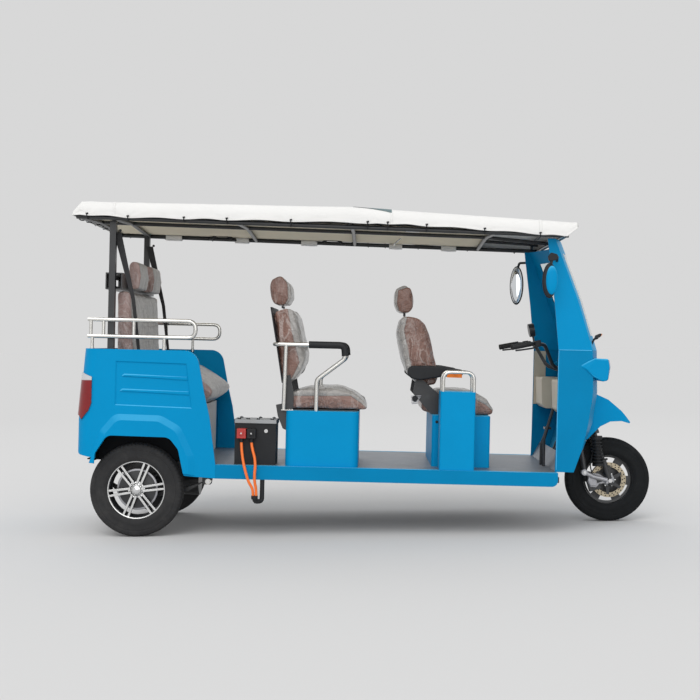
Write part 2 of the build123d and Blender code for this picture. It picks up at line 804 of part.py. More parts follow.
def roof_section(x, edge, shoulder, radius, inset=0.0):
    """Cross-section of the cover at one place along the roof: a shallow arch over straight sides."""
    half = roof_half_width - inset
    side = radius - inset
    low = edge - 10 * inset
    top = shoulder - inset
    bend = side * (1 - math.sqrt(0.5))
    outline = [
        Line((-half, low), (-half, top - side)),
        ThreePointArc((-half, top - side), (-half + bend, top - bend), (-half + side, top)),
        ThreePointArc((-half + side, top), (0, top + roof_crown), (half - side, top)),
        ThreePointArc((half - side, top), (half - bend, top - bend), (half, top - side)),
        Line((half, top - side), (half, low)),
        Line((half, low), (-half, low)),
    ]
    plane = Plane(origin=(x, 0, 0), x_dir=(0, 1, 0), z_dir=(1, 0, 0))
    return plane * make_face(outline)


def roof_cover():
    """Stretched cover over the roof frame: one sheet with short hanging sides and ends, open below."""
    outer = loft([roof_section(*row) for row in roof_sections], ruled=True)
    last = len(roof_sections) - 1
    rows = []
    for n, (x, *row) in enumerate(roof_sections):
        shift = roof_skin if n == 0 else -roof_skin if n == last else 0
        rows.append((x + shift, *row))
    inner = loft([roof_section(*row, inset=roof_skin) for row in rows], ruled=True)
    return outer - inner


def luggage_rails():
    """Stainless guard rail on each side of the rear body: two tubes joined by a bend in front."""
    path = [
        (guard_rear_x, -guard_y, guard_top), (guard_front_x, -guard_y, guard_top),
        (guard_front_x, -guard_y, guard_low), (guard_rear_x, -guard_y, guard_low),
    ]
    rail = tube(path, guard_tube, (guard_top - guard_low) / 2 - guard_tube)
    for x in guard_uprights:
        rail += tube([(x, -guard_y, guard_low), (x, -guard_y, guard_top)], guard_post)
    for x in guard_feet:
        rail += tube([(x, -guard_y, tub_top - 16), (x, -guard_y, guard_low)], guard_post)
        rail += tube([(x, -guard_y, tub_top), (x, -guard_y, tub_top + 8)], guard_post + 6)
        clip = ((x - 40, x + 40), (-guard_y - 30, -guard_y + 30))
        rail -= span(*clip, (tub_top - 60, tub_top))
    return both_sides(rail)


def rear_seat_cushion():
    corners = [
        (-90, bench_z), (340, bench_z), (425, 825), (432, 850), (396, 888), (235, 990), (100, 990), (-35, 950), (-90, 950),
    ]
    return side_view(corners, (-rear_seat_half, rear_seat_half), 25)


def rear_seat_back():
    top = channel_low - face_gap
    corners = [(-150, 950.3), (-40, 950.3), (-55, 1200), (-70, top), (-158, top)]
    return side_view(corners, (-rear_seat_half, rear_seat_half), 15)


def headrests():
    """The four headrests: two on the rear bench, one each on the middle and the driver's seat."""
    rear_x = channel_front_x + 0.2
    rear = [(rear_x, 1436), (-35, 1436), (-25, 1520), (-40, 1600), (-80, 1615), (rear_x, 1590)]
    middle = [(765, 1364), (842, 1364), (873, 1408), (862, 1489), (802, 1545), (745, 1523), (733, 1484)]
    driver = [(1500, 1343), (1578, 1343), (1598, 1378), (1582, 1496), (1540, 1516), (1482, 1490), (1478, 1400)]
    half = headrest_width / 2
    rear = side_view(rear, (-rear_head_y - half, -rear_head_y + half), 18)
    centre = middle_seat_y
    return together(
        rear, mirror(rear, about=Plane.XZ),
        side_view(middle, (centre - half, centre + half), 18),
        side_view(driver, (-half, half), 15),
    )


def upright_box(x, y, top, corner):
    """A folded box standing on the floor, open below, with rounded upright corners."""
    def plan(inset, z):
        x0, x1 = x[0] + inset, x[1] - inset
        y0, y1 = y[0] + inset, y[1] - inset
        return plan_view([(x0, y0), (x1, y0), (x1, y1), (x0, y1)], z, corner - inset)
    return plan(0, (floor_z, top)) - plan(box_wall, (floor_z - 1, top - box_wall))


def seat_boxes():
    """The three blue boxes on the floor: under the middle and the driver's seat, and the side post."""
    return together(
        upright_box(middle_box_x, middle_box_y, middle_box_top, 45),
        upright_box(driver_box_x, driver_box_y, driver_box_top, 20),
        upright_box(post_x, post_y, post_top, 12),
    )


def middle_seat_cushion():
    low = middle_box_top + seat_plate
    corners = [(838, low), (1345, low), (1320, 820), (1256, 869), (1168, 888), (936, 879), (860, 850)]
    return side_view(corners, (middle_seat_y - middle_seat_half, middle_seat_y + middle_seat_half), 18)


def middle_seat_back():
    corners = [(768, 1351), (890, 1351), (933, 1163), (968, 1035), (935, 960), (872, 903), (835, 915), (800, 1150)]
    return side_view(corners, (middle_seat_y - middle_seat_half, middle_seat_y + middle_seat_half), 15)


def driver_seat_cushion():
    low = driver_box_top
    corners = [(1640, low + 20), (1720, low), (2080, low), (2093, 765), (2049, 842), (1977, 877), (1780, 880), (1650, 850)]
    return side_view(corners, (-driver_seat_half, driver_seat_half), 18)


def driver_seat_back():
    corners = [
        (1507, 1326), (1600, 1326), (1632, 1318), (1682, 1211), (1728, 1033), (1750, 913),
        (1735, 890), (1640, 895), (1555, 987), (1502, 1237),
    ]
    return side_view(corners, (-driver_seat_half, driver_seat_half), 15)


def seat_frames():
    """Black steel under and behind the middle and driver's seats: plates, brackets and headrest rods."""
    top = middle_box_top
    y = (middle_seat_y - middle_seat_half + 10, middle_seat_y + middle_seat_half - 10)
    middle = span((858, 1270), y, (top, top + seat_plate))
    outer = middle_seat_half + face_gap + side_strap
    middle += span((858, 900), (middle_seat_y - outer, middle_seat_y + outer), (top, top + seat_plate))
    for low in (middle_seat_y - outer, middle_seat_y + outer - side_strap):
        strap = (low, low + side_strap)
        middle += side_view([(846, top), (900, top), (902, 843), (880, 960), (852, 955), (850, 790)], strap)
        hinge = [(middle_box_x[0], 640), (middle_box_x[0], 770), (846, 795), (800, 785), (812, 720), (842, 649)]
        middle += side_view(hinge, strap)
    side = driver_seat_half + face_gap
    hinge = [(1612, 940), (1660, 940), (1790, 830), (1790, driver_box_top), (1712, driver_box_top), (1600, 860)]
    plate = side_view(hinge, (-side - recliner_plate, -side), 12)
    pieces = [middle, plate, mirror(plate, about=Plane.XZ)]
    for x, low, high, centre in headrest_rods:
        for dy in (-50, 50):
            pieces.append(tube([(x, centre + dy, low), (x, centre + dy, high)], 6))
    return together(*pieces)


def hand_rails():
    """Stainless arm frames at both sides of the middle seat and the rail on the side post."""
    top = middle_box_top
    near, far = middle_arm_y, middle_arm_y + middle_arm_gap
    side = [(1034, top), (1034, 935), (1195, 1060), (1190, arm_top), (920, arm_top)]
    rear = [(920, near, arm_top), (785, near, arm_top), (785, far, arm_top), (920, far, arm_top)]
    arms = tube(rear, arm_tube, arm_bend)
    for y in (near, far):
        arms += tube([(x, y, z) for x, z in side], arm_tube, arm_bend)
        arms += tube([(846, y, top + 4), (853, y, arm_top - 0.5)], arm_tube - 1)
        arms += span((832, 905), (y - 15, y + 15), (top, top + 5))
    post = Part()
    x = (post_x[0] + 15, post_x[1] - 10)
    for y in (post_y[0] + 18, post_y[1] - 20):
        path = [(x[0], y, post_top), (x[0], y, post_rail_z), (x[1], y, post_rail_z), (x[1], y, post_top)]
        post += tube(path, 10, 45)
    for cross in (x[0] + 68, x[0] + 118):
        post += tube([(cross, post_y[0] + 18, post_rail_z), (cross, post_y[1] - 20, post_rail_z)], 8)
    return together(arms, post)


def arm_pads():
    """Black pads on the middle seat's arm tubes and the driver's two armrests."""
    pads = []
    for y in (middle_arm_y, middle_arm_y + middle_arm_gap):
        pad = tube([(980, y, arm_top), (1190 - arm_bend, y, arm_top)], arm_tube + 9)
        pads.append(pad - tube([(900, y, arm_top), (1300, y, arm_top)], arm_tube + 0.1))
    side = driver_seat_half + face_gap + recliner_plate
    corners = [(1562, 988), (1571, 1023), (1696, 1026), (1875, 1007), (1894, 985), (1757, 966), (1608, 930)]
    rest = side_view(corners, (-side - armrest_width, -side), 8)
    return together(*pads, rest, mirror(rest, about=Plane.XZ))


def battery():
    """Traction battery on the floor between the rows."""
    x = (562, 808)
    y = (-490, -318)
    case = span((x[0] + 4, x[1] - 4), (y[0] + 4, y[1] - 4), (floor_z, 672))
    return case + span(x, y, (672, 697))


def battery_sockets():
    red = span((583, 634), (-532, -486), (590, 645))
    black = span((642, 690), (-532, -486), (590, 645))
    return together(red, black)


# Shield sections, from the bottom up: z, rear edge x, side front x, centre front x
shield_top_z = roof_rail_z(roof_front_x) - roof_tube - 0.2
lower_sections = [
    (floor_z, 2416, 2524, 2532), (567, 2419, 2568, 2640), (712, 2420, 2600, 2697),
    (891, 2421, 2624, 2721), (shield_seam_z, 2421, 2617, 2712),
]
upper_sections = [
    (shield_seam_z, 2421, 2617, 2712), (1429, 2391, 2525, 2622), (shield_top_z, 2345, 2387, 2486),
]


def shield_section(z, rear_x, side_x, centre_x, inset=0.0):
    """Plan of the shield at one height, filled: two cheeks and a bowed front."""
    y = shield_y - inset
    outline = [
        Line((rear_x - inset, -y), (side_x - inset, -y)),
        ThreePointArc((side_x - inset, -y), (centre_x - inset, 0), (side_x - inset, y)),
        Line((side_x - inset, y), (rear_x - inset, y)),
        Line((rear_x - inset, y), (rear_x - inset, -y)),
    ]
    return Pos(0, 0, z) * make_face(outline)


def shield_block(sections, inset=0.0, over=0.0):
    """The shield as a filled form, run past its first and last section by an amount."""
    last = len(sections) - 1
    rows = [(z - over if n == 0 else z + over if n == last else z, *xs) for n, (z, *xs) in enumerate(sections)]
    return loft([shield_section(*row, inset=inset) for row in rows], ruled=True)


def lower_shield():
    """Lower front body with its cheeks, cut open over the front wheel."""
    shell = shield_block(lower_sections) - shield_block(lower_sections, shield_wall, 1)
    half = arch_half_width
    return shell - span((2440, 2900), (-half, half), (0, arch_top_z))


def windshield_space():
    """What the windscreen takes out of the front of the upper shield."""
    return span((2440, 2900), (-430, 430), (1225, 1700))


def upper_shield():
    """Upper front body with its cheeks, open where the windscreen sits."""
    shell = shield_block(upper_sections) - shield_block(upper_sections, shield_wall, 1)
    return shell - windshield_space()


def windshield():
    """Windscreen set flush in its opening, following the bowed front."""
    pane = shield_block(upper_sections) - shield_block(upper_sections, glass_thickness, 1)
    return pane & windshield_space()


def headlamps():
    """Wedge-shaped lamp pods at both sides of the lower shield."""
    corners = [(2560, 1040), (2628, 1095), (2709, 1093), (2717, 1047), (2709, 971), (2678, 964), (2620, 1000)]
    pod = side_view(corners, (-shield_y + 2, -350), 8)
    return both_sides(pod - shield_block(lower_sections))


def mudguard():
    """Beak over the front wheel, open below."""
    top = [(2640, 912), (2725, 872), (2790, 845), (2876, 777), (2940, 708)]
    bottom = [(2935, 700), (2878, 715), (2807, 712), (2744, 682), (2708, 648), (2665, 603), (2640, 600)]
    half = arch_half_width - face_gap
    plan = [(2500, -half), (2700, -half), (2900, -100), (2945, -60), (2945, 60), (2900, 100), (2700, half), (2500, half)]
    outer = side_view(top + bottom, (-half, half)) & plan_view(plan, (500, 1000))
    skin = beak_skin
    hollow = side_view([(x - skin, z - skin) for x, z in top] + [(2930, 400), (2630, 400)], (-half + skin, half - skin))
    hollow &= plan_view([(x - skin, y * (1 - skin / half)) for x, y in plan], (300, 1000))
    return outer - hollow - shield_block(lower_sections)


def dash():
    """Moulded liner inside the cheeks, with a glove box each side of the column."""
    half = shield_y - shield_wall
    liner = span((2424, 2500), (-half, -half + 6), (780, 1130))
    pod = side_view([(2440, 790), (2462, 767), (2560, 767), (2585, 790), (2585, 963), (2432, 963)], (-half + 6, -200), 12)
    return both_sides(liner + pod)


def mirror_right():
    """Arm and oval housing of the right door mirror."""
    route = [(2392, -shield_y, 1660), (2392, -545, 1660), (2366, -566, 1640), (2366, -566, 1560)]
    arm = tube(route, 6, 12)
    oval = extrude(Ellipse(86, 50), amount=24)
    head = Pos(2366, -566, 1515) * (Rot(0, 0, 20) * (Rot(0, -90, 0) * oval))
    return arm + head


def seat_belt():
    """Webbing of the right rear belt, from the roof down to the bench."""
    inner = pillar_y - pillar_size / 2
    corners = [(-165, 1765), (-120, 1765), (-30, 1373), (4, 1084), (20, bench_z), (-4, bench_z), (-14, 1084), (-52, 1373)]
    return side_view(corners, (-inner, -inner + webbing))


def pedals():
    """Brake pedal and parking lever on the floor behind the toe board."""
    foot = tube([(2395, -90, floor_z), (2395, -90, 560), (2430, -90, 660)], 8, 25)
    foot += span((2412, 2450), (-125, -55), (655, 668))
    lever = tube([(2400, -170, floor_z), (2400, -170, 600), (2455, -170, 800)], 9, 40)
    return together(foot, lever)


def cable(route):
    """A limp cable: straight runs joined by tangent arcs as large as the runs allow."""
    points = [Vector(*p) for p in route]
    radii = []
    for a, b, c in zip(points, points[1:], points[2:]):
        turn = math.radians((b - a).get_angle(c - b))
        radii.append(0.45 * min((b - a).length, (c - b).length) / math.tan(turn / 2))
    path = FilletPolyline(*points, radius=radii)
    start = Plane(origin=path @ 0, z_dir=path % 0)
    piece = sweep(start * Circle(cable_radius), path=path)
    ratio = piece.volume / (math.pi * cable_radius**2 * path.length)
    print("cable radii", [round(r) for r in radii], "length", round(path.length), "volume ratio", round(ratio, 4))
    return piece


def cable_conduit():
    """Bent conduit that takes both cables, with a boot over their ends."""
    x, y, z = conduit_route[0]
    boot = Pos(x, y, z - conduit_boot / 2) * Cylinder(conduit_boot, conduit_boot)
    return boot + tube(conduit_route, conduit_radius, 16)


def level_pieces():
    """Every piece of the level body by node name."""
    pieces = {
        "rear_axle": rear_axle(),
        "leaf_springs": both_sides(leaf_spring()),
        "floor_plate": floor_plate(),
        "side_sills": side_sills(),
        "rear_side_right": rear_side(-1),
        "rear_side_left": rear_side(1),
        "rear_door": rear_door(),
        "rear_inner_body": rear_inner_body(),
        "rear_pillars": rear_pillars(),
        "roof_frame": roof_frame(),
        "roof_liner": roof_liner(),
        "roof_cover": roof_cover(),
        "luggage_rails": luggage_rails(),
        "rear_seat_cushion": rear_seat_cushion(),
        "rear_seat_back": rear_seat_back(),
        "headrests": headrests(),
        "seat_boxes": seat_boxes(),
        "middle_seat_cushion": middle_seat_cushion(),
        "middle_seat_back": middle_seat_back(),
        "driver_seat_cushion": driver_seat_cushion(),
        "driver_seat_back": driver_seat_back(),
        "seat_frames": seat_frames(),
        "hand_rails": hand_rails(),
        "arm_pads": arm_pads(),
        "battery": battery(),
        "battery_sockets": battery_sockets(),
        "lower_shield": lower_shield(),
        "upper_shield": upper_shield(),
        "windshield": windshield(),
        "headlamps": headlamps(),
        "mudguard": mudguard(),
        "dash": dash(),
        "door_mirrors": both_sides(mirror_right()),
        "tail_lamps": both_sides(tail_lamp()),
        "seat_belts": both_sides(seat_belt()),
        "pedals": pedals(),
        "cable_conduit": cable_conduit(),
    }
    for name, route in cable_routes.items():
        pieces[name] = cable(route)
    return pieces


def ground_pieces():
    """Every piece that is drawn on the ground: the wheels, the fork and what turns with it."""
    pieces = {"chassis_frame": chassis_frame()}
    for name, side in (("right", -1), ("left", 1)):
        place = Pos(0, side * rear_wheel_y, rear_tyre_radius)
        rim = rear_rim() if side < 0 else mirror(rear_rim(), about=Plane.XZ)
        pieces[f"rear_tyre_{name}"] = place * tyre(rear_tyre_radius, rear_tyre_width, rear_rim_radius)
        pieces[f"rear_rim_{name}"] = place * rim
    front = Pos(wheelbase, 0, front_tyre_radius)
    pieces["front_tyre"] = front * tyre(front_tyre_radius, front_tyre_width, front_rim_radius)
    pieces["front_rim"] = front * front_rim()
    pieces["brake_disc"] = front * brake_disc()
    pieces["fork"] = fork()
    pieces["fork_springs"] = together(fork_spring(-1), fork_spring(1))
    pieces["handlebar"] = handlebar()
    pieces["grips"] = grips()
    return pieces


def build():
    """Every node, set so that the origin lies on the ground under the middle of the vehicle."""
    nodes = {name: in_stance(piece) for name, piece in level_pieces().items()}
    nodes.update(ground_pieces())
    boxes = [piece.bounding_box() for piece in nodes.values()]
    middle = (min(box.min.X for box in boxes) + max(box.max.X for box in boxes)) / 2
    return {name: Pos(-middle, 0, 0) * piece for name, piece in nodes.items()}, middle


if __name__ == "__main__":
    os.makedirs("parts", exist_ok=True)
    nodes, middle = build()
    for name, piece in nodes.items():
        export_step(piece, f"parts/{name}.step")
    print("origin ahead of the rear axle", round(middle, 3))
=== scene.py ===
import json
import math
import bpy
import bmesh
import numpy as np
from mathutils import Matrix, Vector


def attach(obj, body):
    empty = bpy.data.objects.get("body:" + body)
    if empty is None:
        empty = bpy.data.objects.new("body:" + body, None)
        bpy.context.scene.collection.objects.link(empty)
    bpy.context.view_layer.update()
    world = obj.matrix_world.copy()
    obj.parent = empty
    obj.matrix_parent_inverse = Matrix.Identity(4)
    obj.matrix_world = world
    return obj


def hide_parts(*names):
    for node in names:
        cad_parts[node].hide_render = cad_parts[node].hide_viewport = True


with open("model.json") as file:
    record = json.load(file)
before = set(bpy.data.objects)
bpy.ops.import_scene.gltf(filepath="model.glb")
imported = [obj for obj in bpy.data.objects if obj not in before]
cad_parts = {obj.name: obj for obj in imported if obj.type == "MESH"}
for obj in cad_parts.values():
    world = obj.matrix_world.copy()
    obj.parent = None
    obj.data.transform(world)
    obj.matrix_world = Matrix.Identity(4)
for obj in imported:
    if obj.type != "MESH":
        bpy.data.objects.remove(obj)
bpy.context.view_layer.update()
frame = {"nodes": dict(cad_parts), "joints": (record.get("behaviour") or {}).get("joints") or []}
nodes = frame["nodes"]
scene = bpy.context.scene
SIDES = ((-1, "right"), (1, "left"))


def joint_place(name):
    """Where a joint of the frame is, in metres."""
    return next(joint for joint in frame["joints"] if joint["name"] == name)["pos_m"]


# The level body: x ahead of the rear axle, y to the left, z up, in millimetres
LEAN = math.radians(1.9)
AXLE_Z = 272.0
AXLE_X = 1000 * joint_place("rear_wheel_right_turn")[0]


def at(x, y, z):
    """A point of the level body in the row frame, in metres."""
    c, s = math.cos(LEAN), math.sin(LEAN)
    ahead = x * c + (z - AXLE_Z) * s + AXLE_X
    return Vector((ahead / 1000, y / 1000, (AXLE_Z + (z - AXLE_Z) * c - x * s) / 1000))


def ground(x, y, z):
    """A point measured from the ground under the rear axle, not leaning, in the row frame."""
    return Vector(((x + AXLE_X) / 1000, y / 1000, z / 1000))


# Camera: turned in radians, placed in metres from the ground under the rear axle
CAMERA_YAW, CAMERA_PITCH, CAMERA_ROLL = -0.0178, -0.0033, -0.0105
CAMERA_X, CAMERA_Y, CAMERA_Z = 1.3665, -7.0816, 1.0925
SENSOR = 36
FOCAL_IN_WIDTHS = 1141.6 / 700


def linked(name, data):
    made = bpy.data.objects.new(name, data)
    scene.collection.objects.link(made)
    return made


def aim_camera():
    flat = math.cos(CAMERA_PITCH)
    ahead, aside = math.cos(CAMERA_YAW), math.sin(CAMERA_YAW)
    forward = Vector((aside * flat, ahead * flat, math.sin(CAMERA_PITCH)))
    right = Vector((ahead, -aside, 0))
    up = right.cross(forward)
    rolled_right = right * math.cos(CAMERA_ROLL) + up * math.sin(CAMERA_ROLL)
    rolled_up = up * math.cos(CAMERA_ROLL) - right * math.sin(CAMERA_ROLL)
    data = bpy.data.cameras.new("camera")
    data.lens = FOCAL_IN_WIDTHS * SENSOR
    data.sensor_width = SENSOR
    data.clip_end = 500
    camera = linked("camera", data)
    turn = Matrix((rolled_right, rolled_up, -forward)).transposed().to_4x4()
    place_from_row = Matrix.Translation((CAMERA_X + AXLE_X / 1000, CAMERA_Y, CAMERA_Z))
    camera.matrix_world = place_from_row @ turn
    scene.camera = camera


aim_camera()


# Materials
def node(tree, kind, inputs=None, **props):
    made = tree.nodes.new("ShaderNode" + kind)
    for key, value in props.items():
        setattr(made, key, value)
    for key, value in (inputs or {}).items():
        if isinstance(value, bpy.types.NodeSocket):
            tree.links.new(value, made.inputs[key])
        else:
            made.inputs[key].default_value = value
    return made


def calc(tree, operation, a, b=0.0):
    return node(tree, "Math", {0: a, 1: b}, operation=operation).outputs[0]


def add(tree, a, b):
    return calc(tree, "ADD", a, b)


def times(tree, a, b):
    return calc(tree, "MULTIPLY", a, b)


def place_on(tree):
    return node(tree, "TexCoord").outputs["Object"]


def axes(tree, vector):
    return node(tree, "SeparateXYZ", {0: vector}).outputs


def noise(tree, scale, detail=3.0, rough=0.5, distortion=0.0, stretch=None):
    where = place_on(tree)
    if stretch:
        where = node(tree, "Mapping", {"Vector": where, "Scale": stretch}).outputs[0]
    sockets = {"Vector": where, "Scale": scale, "Detail": detail, "Roughness": rough}
    return node(tree, "TexNoise", dict(sockets, Distortion=distortion)).outputs["Fac"]


def ramp(tree, value, low, high):
    return node(tree, "MapRange", {"Value": value, "From Min": low, "From Max": high}).outputs[0]


def distance_from(tree, value, middle):
    return calc(tree, "ABSOLUTE", calc(tree, "SUBTRACT", value, middle))


def mix_color(tree, factor, a, b):
    return node(tree, "Mix", {0: factor, 6: a, 7: b}, data_type="RGBA").outputs[2]


def shade(color, factor):
    return tuple(min(1.0, c * factor) for c in color[:3]) + (1.0,)


def gray(value):
    return (value, value, value, 1.0)


def wave(tree, scale, direction):
    sockets = {"Vector": place_on(tree), "Scale": scale}
    return node(tree, "TexWave", sockets, bands_direction=direction).outputs["Fac"]


def weave(tree, threads):
    """Height of a plain weave with so many threads a metre."""
    scale = threads / 6.2832 * 2
    across = add(tree, wave(tree, scale, "X"), wave(tree, scale, "Z"))
    return times(tree, across, wave(tree, scale, "Y"))


def material(name, color, rough, metal, vary, patch, grain, bump, depth, height=None,
             color_by=None, edge=0.0, **extra):
    """Colour varied by a broad noise, roughness by a middle one and a fine bump."""
    made = bpy.data.materials.new(name)
    made.use_nodes = True
    tree = made.node_tree
    shader = tree.nodes["Principled BSDF"]
    shader.inputs["Metallic"].default_value = metal
    for key, value in extra.items():
        shader.inputs[key.replace("_", " ")].default_value = value
    broad = ramp(tree, noise(tree, patch, 5.0, 0.6), 0.3, 0.7)
    base = mix_color(tree, broad, shade(color, 1 - vary), shade(color, 1 + vary))
    if color_by:
        base = color_by(tree, base)
    tree.links.new(base, shader.inputs["Base Color"])
    fine = noise(tree, grain, 3.0, 0.6)
    mottle = ramp(tree, noise(tree, patch * 4, 4.0, 0.6), 0.25, 0.75)
    limits = {"Value": mottle, "To Min": rough * 0.85, "To Max": min(1.0, rough * 1.15)}
    tree.links.new(node(tree, "MapRange", limits).outputs[0], shader.inputs["Roughness"])
    tall = height(tree, fine) if height else fine
    sockets = {"Strength": bump, "Distance": depth, "Height": tall}
    if edge:
        sockets["Normal"] = node(tree, "Bevel", {"Radius": edge}, samples=4).outputs[0]
    tree.links.new(node(tree, "Bump", sockets).outputs[0], shader.inputs["Normal"])
    return made


def dusty(dust, low, high, amount):
    """Light dust in patches over a colour."""
    def apply(tree, base):
        cover = times(tree, ramp(tree, noise(tree, 9.0, 6.0, 0.7), low, high), amount)
        return mix_color(tree, cover, base, dust + (1.0,))
    return apply


def crumpled(scale):
    """Sharp folds of thin film: ridges where a broad noise crosses its middle, over the grain."""
    def apply(tree, fine):
        folds = None
        sizes = ((1.0, (1.0, 0.7, 0.45)), (1.9, (0.5, 1.0, 1.0)), (3.3, (1.0, 0.6, 1.0)))
        for factor, stretch in sizes:
            raw = noise(tree, scale * factor, 2.0, 0.55, 1.6, stretch)
            ridge = ramp(tree, distance_from(tree, raw, 0.5), 0.0, 0.13)
            part = times(tree, calc(tree, "SUBTRACT", 1.0, ridge), 0.9 / factor)
            folds = part if folds is None else add(tree, folds, part)
        return add(tree, folds, times(tree, fine, 0.06))
    return apply


def painted_film_glints(scale, strength):
    """Painted highlights: pale lines where the clear film is folded, standing in for light glinting
    off its folds.
    """
    def apply(tree, base):
        raw = noise(tree, scale, 4.0, 0.6, 1.8, (1.0, 0.7, 0.45))
        line = calc(tree, "SUBTRACT", 1.0, ramp(tree, distance_from(tree, raw, 0.5), 0.0, 0.045))
        patchy = ramp(tree, noise(tree, scale * 0.35, 2.0), 0.35, 0.65)
        cover = times(tree, times(tree, line, patchy), strength)
        return mix_color(tree, cover, base, (0.78, 0.76, 0.74, 1.0))
    return apply


def tread_plate(tree, fine):
    """Anti-slip bars in two directions, square by square."""
    where = place_on(tree)
    squares = node(tree, "TexChecker", {"Vector": where, "Scale": 36.0}).outputs["Fac"]
    bars = []
    for angle in (45, -45):
        spin = {"Vector": where, "Rotation": (0, 0, math.radians(angle))}
        line = {"Vector": node(tree, "Mapping", spin).outputs[0], "Scale": 30.0}
        bars.append(node(tree, "TexWave", line, bands_direction="X").outputs["Fac"])
    chosen = node(tree, "Mix", {"Factor": squares, "A": bars[0], "B": bars[1]}).outputs[0]
    return add(tree, ramp(tree, chosen, 0.45, 0.7), times(tree, fine, 0.1))


def woven(threads, share=1.0):
    def apply(tree, fine):
        broad = times(tree, noise(tree, 7.0, 3.0, 0.5, 0.6), 2.0 * share)
        return add(tree, add(tree, weave(tree, threads), broad), fine)
    return apply


def brushed(tree, fine):
    return add(tree, noise(tree, 500.0, 2.0, 0.5, 0.0, (0.02, 1.0, 1.0)), times(tree, fine, 0.3))


def ribbed(scale, direction):
    return lambda tree, fine: wave(tree, scale, direction)


def lit_from_above(tree, base):
    """Paint paler where the panel slopes upward."""
    tall = axes(tree, node(tree, "NewGeometry").outputs["True Normal"])[2]
    share = times(tree, ramp(tree, tall, 0.12, 0.62), 0.75)
    return mix_color(tree, share, base, (0.09, 0.52, 0.82, 1.0))


SEAT_BOX_X, SEAT_BOX_HALF, ARCH_TOP = 0.30 + AXLE_X / 1000, 0.455, 0.62


def inner_bands(tree, base):
    """Inside of the rear body: black under the arches, grey on the seat box."""
    x, y, z = (axes(tree, place_on(tree))[k] for k in range(3))
    inside = calc(tree, "LESS_THAN", calc(tree, "ABSOLUTE", y), SEAT_BOX_HALF)
    box = times(tree, inside, calc(tree, "GREATER_THAN", x, SEAT_BOX_X))
    low = calc(tree, "LESS_THAN", z, ARCH_TOP)
    arch = times(tree, low, calc(tree, "LESS_THAN", x, SEAT_BOX_X))
    mottle = ramp(tree, noise(tree, 5.0), 0.3, 0.7)
    color = mix_color(tree, box, base, mix_color(tree, mottle, gray(0.50), (0.58, 0.58, 0.57, 1.0)))
    return mix_color(tree, arch, color, (0.012, 0.013, 0.015, 1.0))


def clear_top(tree, base):
    """A pale clear window above the red part of the lamp."""
    height = axes(tree, place_on(tree))[2]
    return mix_color(tree, ramp(tree, height, 0.912, 0.917), base, (0.55, 0.56, 0.58, 1.0))


def by_band(plain, above):
    """One colour on the panel and another past the seam, with a dark line in the seam."""
    def apply(tree, base):
        edge = node(tree, "Attribute", attribute_name="band").outputs["Fac"]
        past = ramp(tree, edge, -0.6, 0.6)
        mottle = ramp(tree, noise(tree, 7.0, 4.0), 0.3, 0.7)
        worn = mix_color(tree, mottle, shade(above, 0.9), shade(above, 1.1))
        color = mix_color(tree, past, base, worn)
        off_seam = ramp(tree, calc(tree, "ABSOLUTE", edge), 0.8, 3.2)
        seam = times(tree, calc(tree, "SUBTRACT", 1.0, off_seam), 0.6)
        return plain(tree, mix_color(tree, seam, color, (0.05, 0.04, 0.035, 1.0)))
    return apply


BLUE = (0.0005, 0.258, 0.535)
PAINT = dict(edge=0.003, Specular_IOR_Level=0.05)
# Blue paint with a painted highlight: paler where a panel slopes upward, standing in for the sky it
# reflects
SKY_LIT_PAINT = dict(PAINT, color_by=lit_from_above, Coat_Weight=0.02, Coat_Roughness=0.15)
